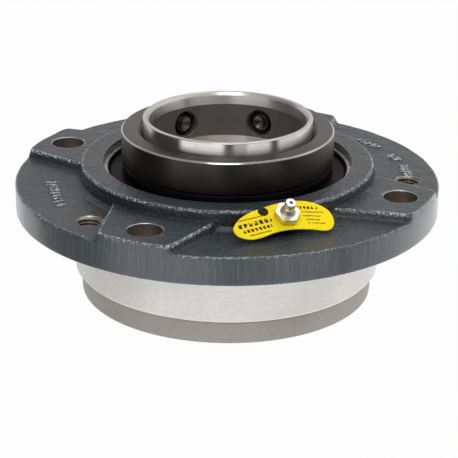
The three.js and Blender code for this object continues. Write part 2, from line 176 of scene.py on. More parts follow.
def rounded(points, steps=4):
    """A closed outline of (r, z, corner radius) as (r, z) points with its corners rounded."""
    out = []
    for i, point in enumerate(points):
        radius = point[2] if len(point) > 2 else 0.0
        following = points[(i + 1) % len(points)]
        before, corner, after = (np.array(p[:2]) for p in (points[i - 1], point, following))
        if radius <= 0:
            out.append(tuple(corner))
            continue
        back, ahead = before - corner, after - corner
        back_length, ahead_length = np.linalg.norm(back), np.linalg.norm(ahead)
        back, ahead = back / back_length, ahead / ahead_length
        half = math.acos(float(np.clip(np.dot(back, ahead), -1, 1))) / 2
        if half > math.radians(88):  # almost straight: nothing to round
            out.append(tuple(corner))
            continue
        trim = min(radius / math.tan(half), 0.49 * back_length, 0.49 * ahead_length)
        radius = trim * math.tan(half)
        bisector = (back + ahead) / np.linalg.norm(back + ahead)
        centre = corner + bisector * (radius / math.sin(half))
        start, end = corner + back * trim, corner + ahead * trim
        start_angle = math.atan2(*(start - centre)[::-1])
        end_angle = math.atan2(*(end - centre)[::-1])
        sweep = (end_angle - start_angle + math.pi) % (2 * math.pi) - math.pi
        for k in range(steps + 1):
            angle = start_angle + sweep * k / steps
            out.append((centre[0] + radius * math.cos(angle),
                        centre[1] + radius * math.sin(angle)))
    return out


def subdivide(outline, wanted, longest):
    """Splits the segments that wanted() names, so that none is longer than `longest`."""
    out = []
    for i, point in enumerate(outline):
        a, b = np.array(point), np.array(outline[(i + 1) % len(outline)])
        out.append(tuple(a))
        length = np.linalg.norm(b - a)
        if wanted(a, b) and length > longest:
            parts = int(math.ceil(length / longest))
            out += [tuple(a + (b - a) * j / parts) for j in range(1, parts)]
    return out


def full_turn(n):
    return np.arange(n) * 2 * math.pi / n


def ring_row(radius, z, n):
    """n points round the axis; radius and z are numbers or one value per point."""
    angle = full_turn(n)
    return np.stack([radius * np.cos(angle), radius * np.sin(angle), z * np.ones(n)], -1)


def ring_faces(rows, n, closed):
    """Quads between neighbouring rows of n points; closed joins the last row to the first."""
    faces = []
    for i in range(rows if closed else rows - 1):
        i2 = (i + 1) % rows
        for j in range(n):
            j2 = (j + 1) % n
            faces.append((i * n + j, i * n + j2, i2 * n + j2, i2 * n + j))
    return faces


def shell(name, rows, mats=(), frame=None, ends=None, smooth=34.0):
    """Rows round the axis: a ring closed on itself, or a solid that runs between two end points."""
    rows = np.asarray(rows, dtype=np.float64)
    count, n, _ = rows.shape
    verts = rows.reshape(-1, 3)
    faces = ring_faces(count, n, closed=ends is None)
    if ends is not None:
        k = len(verts)
        last = k - n
        verts = np.vstack([verts, *ends])
        faces += [(k, (j + 1) % n, j) for j in range(n)]
        faces += [(k + 1, last + j, last + (j + 1) % n) for j in range(n)]
    return make(name, verts, faces, mats, frame, smooth)


def tube(name, rows, mats=(), frame=None, smooth=34.0):
    """Closed sections swept along an open path, with a flat face at each end."""
    rows = np.array(rows)
    count, n, _ = rows.shape
    last = (count - 1) * n
    faces = ring_faces(count, n, closed=False)
    faces += [tuple(range(n)), tuple(last + j for j in reversed(range(n)))]
    return make(name, rows, faces, mats, frame, smooth)


def revolve(name, outline, n=240, mats=(), frame=None):
    """An outline turned about Z: a ring, or a solid if it starts and ends on the axis."""
    ends = None
    if abs(outline[0][0]) < 1e-9:
        ends = [(0, 0, outline[0][1]), (0, 0, outline[-1][1])]
        outline = outline[1:-1]
    return shell(name, [ring_row(r, z, n) for r, z in outline], mats, frame, ends)


def cylinder(radius, z0, z1, n, frame=None):
    outline = [(0, z0), (radius, z0), (radius, z1), (0, z1)]
    return revolve("cutter", outline, n, frame=frame)


def hexagon(flat, n, turn=0.0):
    """Distance to a hexagon's edge in n directions; flat is from the centre to a side."""
    sixth = math.pi / 3
    return flat / np.cos((full_turn(n) - turn + sixth / 2) % sixth - sixth / 2)


def thread_rows(crest, depth, pitch, z0, z1, n, step, fade_in=0, fade_out=0):
    """Rows of a helical thread that fades to its root over the given lengths at the ends."""
    rows = []
    for z in np.arange(z0, z1 + 1e-6, step):
        phase = (z / pitch - full_turn(n) / (2 * math.pi)) % 1.0
        ridge = np.clip(1.0 - np.abs(phase - 0.5) * 2 * 1.18, 0.0, 0.86) / 0.86
        fade = 1.0
        if fade_in:
            fade = min(fade, max(0.0, (z - z0) / fade_in))
        if fade_out:
            fade = min(fade, max(0.0, (z1 - z) / fade_out))
        rows.append(ring_row((crest - depth) + depth * ridge * fade, z, n))
    return rows


def cut(ob, cutters, operation="DIFFERENCE"):
    """Applies each cutter as a boolean, one after another, and removes it."""
    for cutter in cutters:
        modifier = ob.modifiers.new("cut", "BOOLEAN")
        modifier.operation = operation
        modifier.object = cutter
        before = len(ob.data.polygons)
        # the exact solver steps in where the manifold one gives nothing or changes nothing
        for solver in ("MANIFOLD", "EXACT"):
            modifier.solver = solver
            depsgraph = bpy.context.evaluated_depsgraph_get()
            mesh = bpy.data.meshes.new_from_object(ob.evaluated_get(depsgraph))
            if len(mesh.polygons) >= 4 and len(mesh.polygons) != before:
                break
        ob.modifiers.clear()
        old = ob.data
        name = old.name
        ob.data = mesh
        bpy.data.meshes.remove(old)
        mesh.name = name
    for cutter in cutters:
        bpy.data.objects.remove(cutter, do_unlink=True)


def join(obs):
    """Several separate meshes as one, for cutting."""
    bm = bmesh.new()
    for ob in obs:
        bm.from_mesh(ob.data)
    bm.to_mesh(obs[0].data)
    bm.free()
    for ob in obs[1:]:
        bpy.data.objects.remove(ob, do_unlink=True)
    return obs[0]


def face_data(ob):
    """Face centres in mm from the mounting face, and face normals."""
    faces = ob.data.polygons
    centres, normals = np.empty(len(faces) * 3), np.empty(len(faces) * 3)
    faces.foreach_get("center", centres)
    faces.foreach_get("normal", normals)
    centres = centres.reshape(-1, 3) * 1000.0
    centres[:, 2] -= DATUM
    return centres, normals.reshape(-1, 3)


def finish(ob, mats, smooth, rules=()):
    """Gives the faces the first material, then applies (faces, material) rules in order."""
    mesh = ob.data
    index = np.zeros(len(mesh.polygons), dtype=np.int32)
    for chosen, mat in rules:
        index[chosen] = mats.index(mat)
    mesh.materials.clear()
    for mat in mats:
        mesh.materials.append(mat)
    mesh.polygons.foreach_set("material_index", index)
    mesh.update()
    soften(ob, smooth)


def place(ob, body, node):
    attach(ob, body)
    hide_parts(node)


# ---------------------------------------------------------------- shader graphs
class Graph:
    """Builds shader nodes. Values are numbers, (r, g, b) colours or sockets to link."""

    def __init__(self, tree, space=None):
        self.tree = tree
        tree.nodes.clear()
        self.coord = self.node("TexCoord").outputs[space] if space else None

    def feed(self, socket, value):
        if isinstance(value, (int, float)):
            socket.default_value = value
        elif isinstance(value, tuple):
            socket.default_value = (*value, 1)
        else:
            self.tree.links.new(value, socket)

    def node(self, kind, *values, sockets={}, **settings):
        node = self.tree.nodes.new("ShaderNode" + kind)
        for key, value in settings.items():
            setattr(node, key, value)
        for key, value in [*enumerate(values), *sockets.items()]:
            self.feed(node.inputs[key], value)
        return node

    def value(self, number):
        node = self.node("Value")
        node.outputs[0].default_value = number
        return node.outputs[0]

    def math(self, operation, *values, clamp=False):
        return self.node("Math", *values, operation=operation, use_clamp=clamp).outputs[0]

    def times(self, a, b):
        return self.math("MULTIPLY", a, b)

    def xyz(self, vector=None):
        return tuple(self.node("SeparateXYZ", vector or self.coord).outputs)

    def combine(self, *values):
        return self.node("CombineXYZ", *values).outputs[0]

    def span(self, value, over=(0.3, 0.7), to=(0.0, 1.0)):
        """A smooth step from to[0] to to[1] as the value crosses the range `over`."""
        node = self.node("MapRange", value, *over, *to, interpolation_type="SMOOTHSTEP")
        return node.outputs[0]


class Surface(Graph):
    """A Principled material. Noise scales are per metre and bump distances are in metres."""

    INPUTS = {"rough": "Roughness", "metal": "Metallic", "spec": "Specular IOR Level",
              "coat": "Coat Weight", "coat_rough": "Coat Roughness"}

    def __init__(self, name):
        self.material = bpy.data.materials.new(name)
        self.material.use_nodes = True
        super().__init__(self.material.node_tree, "Object")
        self.shader = self.node("BsdfPrincipled")
        self.node("OutputMaterial", self.shader.outputs[0])
        self.color = self.normal = None

    def in_frame(self, matrix):
        """Coordinates in mm in the frame whose matrix, in metres, is given."""
        x, y, z = self.xyz()
        out = []
        for row in matrix.inverted()[:3]:
            total = self.times(x, row[0] * 1000)
            total = self.math("MULTIPLY_ADD", y, row[1] * 1000, total)
            total = self.math("MULTIPLY_ADD", z, row[2] * 1000, total)
            out.append(self.math("ADD", total, row[3] * 1000))
        return out

    def round_coords(self):
        """Arc length in mm at a radius of 100 mm, radius in mm, and scene height in mm."""
        x, y, z = self.xyz()
        arc = self.times(self.math("ARCTAN2", y, x), 100.0)
        square = self.math("ADD", self.times(x, x), self.times(y, y))
        return arc, self.times(self.math("SQRT", square), 1000.0), self.times(z, 1000.0)

    def noise(self, scale, detail=4, rough=0.6, vector=None):
        return self.node("TexNoise", sockets={
            "Vector": vector or self.coord, "Scale": scale, "Detail": detail,
            "Roughness": rough}).outputs[0]

    def stretched(self, coords, by, at=(), detail=4, rough=0.6):
        """Noise over coordinates scaled one by one; `at` fills in the remaining ones."""
        vector = self.combine(*map(self.times, coords, by), *at)
        return self.noise(1.0, detail, rough, vector)

    def mix(self, factor, a, b):
        return self.node("Mix", sockets={0: factor, 6: a, 7: b}, data_type="RGBA").outputs[2]

    def base(self, factor, a, b):
        self.color = self.mix(factor, a, b)

    def layer(self, factor, color):
        """Lays a colour over what is there so far."""
        self.color = self.mix(factor, self.color, color)

    def bump(self, height, distance, strength=0.6):
        sockets = {"Strength": strength, "Distance": distance, "Height": height}
        if self.normal is not None:
            sockets["Normal"] = self.normal
        self.normal = self.node("Bump", sockets=sockets).outputs[0]

    def edges(self, radius):
        """Above 0 near sharp edges, 0 away from them."""
        bevel = self.node("Bevel", radius, samples=4).outputs[0]
        normal = self.node("NewGeometry").outputs["Normal"]
        dot = self.node("VectorMath", bevel, normal, operation="DOT_PRODUCT")
        return self.math("SUBTRACT", 1.0, dot.outputs["Value"], clamp=True)

    def brushed(self, amount):
        """Stretches the highlights as turning about Z does."""
        tangent = self.node("Tangent", direction_type="RADIAL", axis="Z").outputs[0]
        self.feed(self.shader.inputs["Tangent"], tangent)
        self.feed(self.shader.inputs["Anisotropic"], amount)
        self.feed(self.shader.inputs["Anisotropic Rotation"], 0.25)

    def done(self, **inputs):
        self.feed(self.shader.inputs["Base Color"], self.color)
        for key, value in inputs.items():
            self.feed(self.shader.inputs[self.INPUTS[key]], value)
        self.feed(self.shader.inputs["Normal"], self.normal)
        return self.material


def srgb(*channels):
    """Linear colour from 0 to 255 sRGB channels."""
    def linear(c):
        return c / 12.92 if c <= 0.04045 else ((c + 0.055) / 1.055) ** 2.4
    return tuple(linear(c / 255.0) for c in channels)


def shade(color, factor):
    return tuple(factor * c for c in color)


# ---------------------------------------------------------------- materials
def cast_paint():
    mat = Surface("painted_casting")
    grain = mat.noise(scale=420, detail=3, rough=0.55)
    fine = mat.noise(scale=1000, detail=3)
    cloud = mat.noise(scale=24, detail=5)
    mat.base(mat.span(cloud, over=(0.35, 0.68)), srgb(29, 37, 41), srgb(38, 46, 50))
    mat.layer(mat.span(grain, over=(0.58, 0.74), to=(0, 0.4)), srgb(74, 83, 86))
    mat.layer(mat.span(grain, over=(0.43, 0.28), to=(0, 0.5)), srgb(27, 33, 36))
    geometry = mat.node("NewGeometry").outputs
    up = mat.xyz(geometry["Normal"])[2]
    # painted shade: darker on slopes and in hollows, where less light falls
    mat.layer(mat.span(up, over=(0.95, 0.62), to=(0.0, 0.75)), srgb(13, 17, 20))
    hollow = mat.span(geometry["Pointiness"], over=(0.497, 0.478))
    mat.layer(mat.times(hollow, 0.85), srgb(12, 15, 17))
    # ridges lighter, partly as worn paint and partly as painted highlight, with bright specks of
    # painted highlight
    ridge = mat.span(geometry["Pointiness"], over=(0.505, 0.532))
    worn_and_highlight_speck = mat.span(mat.noise(scale=760, detail=2), over=(0.49, 0.63))
    mat.layer(mat.times(ridge, 0.2), srgb(120, 128, 130))
    mat.layer(mat.times(mat.times(ridge, worn_and_highlight_speck), 0.66), srgb(212, 215, 213))
    mat.bump(grain, distance=0.0012, strength=0.85)
    mat.bump(fine, distance=0.00045, strength=0.75)
    mat.bump(mat.noise(scale=110, detail=3, rough=0.5), distance=0.0010, strength=0.32)
    return mat.done(rough=mat.span(fine, to=(0.29, 0.43)), spec=0.42, coat=0.1, coat_rough=0.12)


def worn_and_highlighted_marks():
    mat = Surface("painted_raised_marks")
    # light specks on the raised marks: partly worn paint, partly painted highlight
    worn_and_highlight_speck = mat.span(mat.noise(scale=640, detail=3), over=(0.42, 0.6))
    mat.base(worn_and_highlight_speck, srgb(60, 68, 71), srgb(168, 172, 171))
    mat.bump(mat.noise(scale=700, detail=3), distance=0.0005, strength=0.7)
    return mat.done(rough=mat.span(mat.noise(scale=400, detail=3), to=(0.3, 0.45)), spec=0.6)


def rim_paint():
    """Paint on the flange's rim, with upright streaks. Its base is a lighter, lit copy of the
    casting's paint, and its edge has specks of painted highlight.
    """
    mat = Surface("painted_rim")
    arc, _, height = mat.round_coords()
    streak = mat.stretched((arc, height), by=(1.5, 0.02), at=(0.0,), detail=5, rough=0.66)
    fine = mat.stretched((arc, height), by=(3.6, 0.05), at=(3.0,), rough=0.65)
    # painted light: the rim's base is lighter than the casting's paint, for the light that falls on
    # the rim
    mat.base(mat.span(streak, over=(0.33, 0.68)), srgb(46, 53, 57), srgb(62, 69, 73))
    light, dark = mat.span(fine, over=(0.55, 0.72)), mat.span(fine, over=(0.46, 0.28))
    mat.layer(mat.times(light, 0.65), srgb(122, 128, 130))
    mat.layer(mat.times(dark, 0.7), srgb(28, 35, 39))
    pointiness = mat.node("NewGeometry").outputs["Pointiness"]
    ridge = mat.span(pointiness, over=(0.506, 0.54))
    worn_and_highlight_speck = mat.span(mat.noise(scale=620, detail=2), over=(0.50, 0.64))
    # painted highlight: bright specks along the rim's edge
    mat.layer(mat.times(mat.times(ridge, worn_and_highlight_speck), 0.6), srgb(200, 204, 202))
    mat.bump(streak, distance=0.0004, strength=0.5)
    mat.bump(fine, distance=0.00016, strength=0.55)
    return mat.done(rough=mat.span(mat.noise(scale=30), to=(0.34, 0.44)), spec=0.45,
                    coat=0.6, coat_rough=0.2)


def bare_iron(name, tone, dark, metal, rough, marks=1.0, spec=0.5, painted_shade_band=None):
    """Machined iron. marks scales the turning marks; the last argument is a range of scene heights
    in mm over which painted shade darkens it."""
    mat = Surface(name)
    coords = mat.round_coords()
    grain = mat.noise(scale=1400, rough=0.65)
    pits = mat.node("TexVoronoi", sockets={"Vector": mat.coord, "Scale": 800})
    turning = mat.stretched(coords, by=(0.02, 5.0, 5.0), detail=3, rough=0.5)
    cloud = mat.noise(scale=18, detail=5)
    mat.base(mat.span(cloud, over=(0.3, 0.72)), tone, shade(tone, 0.86))
    mat.layer(mat.span(grain, over=(0.48, 0.66), to=(0, 0.6)), dark)
    pit = mat.span(pits.outputs["Distance"], over=(0.20, 0.05), to=(0, 0.3))
    mat.layer(pit, shade(dark, 0.5))
    mat.layer(mat.span(turning, over=(0.4, 0.7), to=(0, 0.22 * marks)), dark)
    # painted shade, darker over the given band of heights
    if painted_shade_band:
        mat.layer(mat.span(coords[2], over=painted_shade_band, to=(0, 0.75)), shade(dark, 0.32))
    mat.bump(turning, distance=0.00006 * marks)
    mat.bump(grain, distance=0.00008)
    return mat.done(rough=mat.span(grain, to=(rough - 0.06, rough + 0.1)), metal=metal, spec=spec)


def turned_steel(name, tone, warm, rough, marks, aniso, patch=0.12):
    """Turned steel. marks scales the turning marks and patch the warm patches."""
    mat = Surface(name)
    coords = mat.round_coords()
    turning = mat.stretched(coords, by=(0.012, 9.0, 9.0))
    smear = mat.stretched(coords, by=(0.08, 0.3, 0.3))
    mat.base(mat.span(turning, over=(0.3, 0.75)), tone, shade(tone, 0.8))
    cloud = mat.noise(scale=30, detail=5)
    mat.layer(mat.span(cloud, over=(0.4, 0.75), to=(0, patch * 2)), warm)
    mat.brushed(aniso)
    mat.bump(turning, distance=0.000012 * marks)
    smooth = mat.span(smear, to=(rough - 0.015, rough + 0.03))
    return mat.done(rough=mat.math("ADD", smooth, mat.span(turning, to=(0.0, 0.04))), metal=1.0)


def ring_bore():
    """Painted shade: darker and less metallic in the extended end, plain ground steel below it."""
    mat = Surface("ring_bore_finish")
    coords = mat.round_coords()
    turning = mat.stretched(coords, by=(0.012, 9.0, 9.0))
    cloud = mat.noise(scale=34)
    # painted shade in the upper bore
    shaded_upper = mat.mix(mat.span(cloud, over=(0.3, 0.72)), srgb(74, 70, 68), srgb(86, 82, 79))
    ground = mat.mix(mat.span(cloud, over=(0.3, 0.72)), srgb(196, 192, 187), srgb(172, 167, 161))
    step = mat.span(coords[2], over=(DATUM + 29.2, DATUM + 29.6))
    mat.base(step, ground, shaded_upper)
    mat.layer(mat.span(turning, over=(0.45, 0.75), to=(0, 0.18)), srgb(104, 99, 95))
    mat.bump(turning, distance=0.00001)
    return mat.done(rough=mat.span(cloud, to=(0.42, 0.5)), spec=0.5,
                    metal=mat.span(step, over=(0.0, 1.0), to=(1.0, 0.25)))


def black_oxide():
    mat = Surface("black_oxide_steel")
    turning = mat.stretched(mat.round_coords(), by=(0.015, 7.0, 7.0))
    cloud = mat.noise(scale=26, detail=5, rough=0.62)
    spots = mat.noise(scale=480, rough=0.65)
    mat.base(mat.span(cloud, over=(0.3, 0.72)), srgb(52, 49, 47), srgb(66, 62, 59))
    mat.layer(mat.span(turning, over=(0.45, 0.75), to=(0, 0.3)), srgb(84, 79, 75))
    mat.layer(mat.span(spots, over=(0.62, 0.78), to=(0, 0.3)), srgb(32, 30, 29))
    # sharp edges lighter: partly worn oxide, partly painted highlight
    edge = mat.span(mat.edges(radius=0.0007), over=(0.03, 0.2))
    worn_and_highlight_edge = mat.times(edge, mat.span(mat.noise(scale=160, rough=0.7), over=(0.4, 0.58)))
    mat.layer(mat.times(worn_and_highlight_edge, 0.8), srgb(205, 202, 198))
    mat.brushed(0.55)
    mat.bump(turning, distance=0.00004, strength=0.7)
    return mat.done(rough=mat.span(cloud, to=(0.30, 0.38)), metal=0.9)


def screw_black():
    mat = Surface("screw_black_oxide")
    mat.base(mat.span(mat.noise(scale=180)), srgb(52, 49, 47), srgb(88, 84, 80))
    # painted highlight: lighter on the screw's sharp edges
    edge = mat.span(mat.edges(radius=0.0004), over=(0.03, 0.25), to=(0, 0.5))
    mat.layer(edge, srgb(190, 186, 180))
    mat.bump(mat.noise(scale=900, detail=3), distance=0.00003)
    return mat.done(rough=mat.span(mat.noise(scale=400, detail=3), to=(0.26, 0.38)), metal=0.95)


def gloss_black(name, tone, rough, spec):
    mat = Surface(name)
    cloud = mat.noise(scale=60)
    rings = mat.stretched(mat.round_coords(), by=(0.01, 3.0, 3.0), detail=3, rough=0.5)
    mat.base(mat.span(cloud), tone, shade(tone, 1.8))
    mat.bump(rings, distance=0.00004, strength=0.5)
    mat.bump(mat.noise(scale=700, detail=3), distance=0.00003, strength=0.5)
    return mat.done(rough=mat.span(cloud, to=(rough, rough + 0.08)), spec=spec)


def nitrile():
    mat = Surface("seal_nitrile")
    mat.base(mat.span(mat.noise(scale=90)), (0.008, 0.008, 0.008), (0.02, 0.02, 0.019))
    mat.bump(mat.noise(scale=1400, detail=3), distance=0.00003)
    return mat.done(rough=mat.span(mat.noise(scale=300), to=(0.42, 0.62)), spec=0.45)


def stamped_spring():
    mat = Surface("stamped_spring_steel")
    cloud = mat.noise(scale=120)
    mat.base(mat.span(cloud), srgb(122, 116, 110), srgb(166, 160, 152))
    mat.bump(mat.noise(scale=800, detail=3), distance=0.00005)
    return mat.done(rough=mat.span(cloud, to=(0.28, 0.42)), metal=0.95)


def machined_brass():
    mat = Surface("machined_brass")
    turning = mat.stretched(mat.round_coords(), by=(0.02, 6.0, 6.0), detail=3, rough=0.5)
    mat.base(mat.span(mat.noise(scale=60)), (0.62, 0.42, 0.15), (0.5, 0.33, 0.11))
    mat.bump(turning, distance=0.00004)
    return mat.done(rough=mat.span(turning, to=(0.24, 0.36)), metal=1.0)


def zinc():
    mat = Surface("bright_zinc")
    cloud = mat.noise(scale=240)
    mat.base(mat.span(cloud), srgb(222, 219, 205), srgb(196, 191, 172))
    # painted highlight: lighter on the fitting's sharp edges
    edge = mat.span(mat.edges(radius=0.0003), over=(0.03, 0.25), to=(0, 0.4))
    mat.layer(edge, srgb(246, 244, 236))
    mat.bump(mat.noise(scale=1200, detail=3), distance=0.00002, strength=0.4)
    return mat.done(rough=mat.span(cloud, to=(0.36, 0.44)), metal=1.0)


# Printed bars on the tag, in the fitting's frame:
# (centre u, centre v, length, height, slope in degrees, how often the gaps between words come)
TAG_BARS = (
    (-21.8, 1.6, 18.5, 1.0, 7, 1.1), (-21.0, -2.4, 22.5, 3.0, 7, 0.2),
    (-20.3, -6.6, 19.5, 2.2, 7, 0.25), (-19.6, -9.9, 14.5, 1.0, 7, 1.2),
    (15.0, 4.2, 13.0, 2.0, -11, 0.6), (16.4, 0.6, 15.5, 1.0, -11, 1.3),
    (16.2, -2.3, 11.0, 1.0, -11, 1.2), (16.0, -5.1, 9.0, 1.0, -11, 1.4),
    (17.2, -8.0, 10.5, 1.0, -11, 1.1),
)
TAG_SPOT = (-13.2, 5.4)  # centre of the printed disc


def printed_bar(mat, u, v, k):
    """1 inside bar k of the tag, broken into blocks, words and notches."""
    centre_u, centre_v, length, height, slope, gaps = TAG_BARS[k]
    cos, sin = math.cos(math.radians(slope)), math.sin(math.radians(slope))
    from_u, from_v = mat.math("SUBTRACT", u, centre_u), mat.math("SUBTRACT", v, centre_v)
    run = mat.math("ADD", mat.times(from_u, cos), mat.times(from_v, sin))
    rise = mat.math("SUBTRACT", mat.times(from_v, cos), mat.times(from_u, sin))

    def within(value, half, soft):
        return mat.span(mat.math("ABSOLUTE", value), over=(half + soft, half - soft))

    bar = mat.times(within(run, length / 2, 0.1), within(rise, height / 2, 0.12))
    pitch = 1.05 * height + 0.35
    shifted = mat.math("ADD", run, 60.0 + 0.37 * k)
    cell = mat.math("FRACT", mat.math("DIVIDE", shifted, pitch))
    block = mat.times(mat.span(cell, over=(0.06, 0.14)), mat.span(cell, over=(0.82, 0.74)))
    word = mat.stretched((run,), by=(gaps * 0.5,), at=(3.7 * k, 0.0), detail=0, rough=0.5)
    notch = mat.stretched((run, rise), by=(1.9 / height,) * 2, at=(5.1 * k,), detail=0, rough=0.5)
    marks = mat.times(mat.span(word, over=(0.30, 0.33)), mat.span(notch, over=(0.30, 0.38)))
    return mat.times(mat.times(bar, block), marks)


def tag_enamel():
    """Yellow enamel with plain printed bars and a disc: no letters."""
    mat = Surface("tag_enamel")
    u, v, height = mat.in_frame(FIT_FRAME_METRES)
    ink = mat.value(0.0)
    for k in range(len(TAG_BARS)):
        ink = mat.math("MAXIMUM", ink, printed_bar(mat, u, v, k))
    squares = [mat.math("POWER", mat.math("SUBTRACT", value, centre), 2.0)
               for value, centre in zip((u, v), TAG_SPOT)]
    distance = mat.math("SQRT", mat.math("ADD", *squares))
    ink = mat.math("MAXIMUM", ink, mat.span(distance, over=(3.4, 3.2)))
    ink = mat.times(ink, mat.span(height, over=(0.55, 0.7)))  # on the plate's top only
    mat.base(mat.span(mat.noise(scale=40)), srgb(238, 214, 12), srgb(230, 203, 6))
    specks = mat.noise(scale=600, rough=0.7)
    mat.layer(mat.span(specks, over=(0.62, 0.8), to=(0, 0.25)), srgb(208, 178, 6))
    cover = mat.span(mat.noise(scale=900, detail=3), over=(0.2, 0.45), to=(0.86, 1.0))
    mat.layer(mat.times(ink, cover), srgb(30, 25, 18))
    bare_edge = mat.span(height, over=(0.25, 0.6), to=(1.0, 0.0))
    mat.layer(mat.times(bare_edge, 0.75), srgb(178, 174, 160))
    mat.bump(mat.noise(scale=500, detail=3), distance=0.00004, strength=0.5)
    mat.bump(ink, distance=0.00003, strength=0.5)
    return mat.done(rough=mat.span(mat.noise(scale=200, detail=3), to=(0.40, 0.52)), spec=0.08)


PAINT, RIM, MARKS = cast_paint(), rim_paint(), worn_and_highlighted_marks()
PILOT = bare_iron("pilot_machined_iron", tone=srgb(228, 226, 223), dark=srgb(180, 177, 173),
                  metal=0.2, rough=0.46, spec=0.15)
# painted shade on the skirt just under the pilot's step
SKIRT = bare_iron("skirt_primed_iron", tone=srgb(164, 159, 154), dark=srgb(126, 121, 116),
                  metal=0.1, rough=0.55, marks=0.6, spec=0.15,
                  painted_shade_band=(DATUM + PILOT_END - 2.4, DATUM + PILOT_END - 0.3))
BORE = bare_iron("opening_machined_iron", tone=srgb(112, 104, 97), dark=srgb(64, 57, 51),
                 metal=0.75, rough=0.36)
SEAT = bare_iron("seat_machined_iron", tone=srgb(176, 172, 166), dark=srgb(122, 117, 110),
                 metal=0.8, rough=0.34)
HOLE = bare_iron("hole_machined_iron", tone=srgb(132, 122, 113), dark=srgb(70, 63, 57),
                 metal=0.8, rough=0.36)
BRIGHT = bare_iron("chamfer_bright_iron", tone=srgb(176, 173, 168), dark=srgb(110, 106, 101),
                   metal=0.85, rough=0.36)
RING_OUT = turned_steel("ring_turned_steel", tone=srgb(214, 212, 211), warm=srgb(200, 197, 194),
                        rough=0.2, marks=0.0, aniso=0.9, patch=0.05)
RING_FACE = turned_steel("ring_faced_steel", tone=srgb(196, 193, 190), warm=srgb(180, 176, 172),
                         rough=0.3, marks=0.2, aniso=0.6, patch=0.06)
RING_BORE = ring_bore()
BEARING = turned_steel("bearing_ground_steel", tone=srgb(208, 208, 210),
                       warm=srgb(190, 190, 192), rough=0.13, marks=0.3, aniso=0.3)
BLACK, SCREW = black_oxide(), screw_black()
CHAMFER = turned_steel("collar_polished_chamfer", tone=srgb(176, 173, 169),
                       warm=srgb(150, 146, 142), rough=0.16, marks=0.3, aniso=0.3)
CASE = gloss_black("seal_case_black", tone=(0.002, 0.002, 0.0021), rough=0.4, spec=0.05)
FLING = gloss_black("flinger_black", tone=(0.003, 0.0029, 0.0028), rough=0.4, spec=0.06)
RUBBER, SPRING, BRASS = nitrile(), stamped_spring(), machined_brass()
ZINC, TAG = zinc(), tag_enamel()


# ---------------------------------------------------------------- housing
# The casting's section: (r, z, corner radius)
HOUSING_SECTION = (
    # skirt, pilot and the flange's mounting face
    (SEAT_R, SKIRT_END, 1.2), (SKIRT_END_R, SKIRT_END, 1.0), (SKIRT_TOP_R, PILOT_END, 0),
    (PILOT_R - 1.4, PILOT_END, 0.15), (PILOT_R, PILOT_END + 1.6, 0.3), (PILOT_R, -1.0, 0.5),
    (PILOT_R - 0.9, -0.5, 0.3), (PILOT_R - 0.9, 0, 0.2),
    # flange and boss
    (FLANGE_R, 0, 0.7), (FLANGE_R, FLANGE_TOP, 1.3), (99.8, FLANGE_TOP, 2.6), (97.3, 20.8, 1.6),
    (BOSS_R + 0.3, BOSS_TOP, 2.0), (OPENING_R, BOSS_TOP, 0.5),
    # front snap ring groove
    (OPENING_R, 26.4, 0.15), (84.0, 26.4, 0), (84.0, 23.7, 0), (OPENING_R, 23.7, 0.15),
    # seat, with a wide groove and the rear snap ring groove
    (OPENING_R, 18.3, 0.3), (SEAT_R, 18.3, 0), (SEAT_R, 10.0, 0), (92.4, 10.0, 0),
    (92.4, -8.0, 0), (SEAT_R, -8.0, 0), (SEAT_R, -34.3, 0), (93.0, -34.3, 0),
    (93.0, -37.6, 0), (SEAT_R, -37.6, 0),
)
# Bolt pads: (angle, half widths on the anticlockwise side, half widths on the clockwise side),
# each pair measured at the two PAD_STATIONS radii
PAD_STATIONS = (88, 137)
PADS = (
    (45, (33.7, 26.1), (33.7, 24.6)),
    (135, (33.7, 23.7), (33.7, 26.1)),
    (225, (32.6, 24.1), (37.6, 23.5)),
    (315, (30.4, 19.9), (37.8, 26.7)),
)
PAD_CORNER_R = 4.5
PAD_SLOPE, PAD_EDGE_R = 2.1, 0.7  # fall of the pads' flanks and rounding of their edges
PAD_BLEND = 2.2
RELIEF_Z = 16.8  # height above which pads and marks shape the casting
# Columns of raised marks: (first end, second end, number of marks, half length of a mark)
MARK_COLUMNS = (
    ((-113.0, 27.0), (-118.5, -18.5), 9, 2.6), ((113.0, 39.0), (119.0, 16.0), 5, 2.7),
    ((119.5, 1.5), (120.0, -11.5), 3, 2.4), ((118.5, -20.5), (113.0, -40.0), 5, 2.6),
)


def pad_distance(x, y):
    """Distance outside the nearest bolt pad's side lines, negative inside."""
    nearest = np.full(x.shape, 1e9)
    radius = np.hypot(x, y)
    near, far = PAD_STATIONS
    for angle, anticlockwise, clockwise in PADS:
        cos, sin = math.cos(math.radians(angle)), math.sin(math.radians(angle))
        out, side = x * cos + y * sin, -x * sin + y * cos
        distances = []
        for (near_width, far_width), sign in ((anticlockwise, 1), (clockwise, -1)):
            slope = (far_width - near_width) / (far - near)
            offset = sign * side - (near_width + slope * (out - near))
            distances.append(offset / math.sqrt(1 + slope * slope))
        pad = np.maximum(*distances)
        corner_start = FLANGE_R - PAD_CORNER_R
        for edge in distances:  # rounded outer corners
            corner = np.hypot(np.maximum(edge + PAD_CORNER_R, 0),
                              np.maximum(radius - corner_start, 0)) - PAD_CORNER_R
            in_corner = (edge > -PAD_CORNER_R) & (radius > corner_start)
            pad = np.where(in_corner, np.maximum(pad, corner), pad)
        nearest = np.minimum(nearest, np.where(out > 40, pad, 1e3))
    return nearest


def smooth_max(a, b, blend):
    return np.maximum(a, b) + np.maximum(blend - np.abs(a - b), 0) ** 2 / (4 * blend)


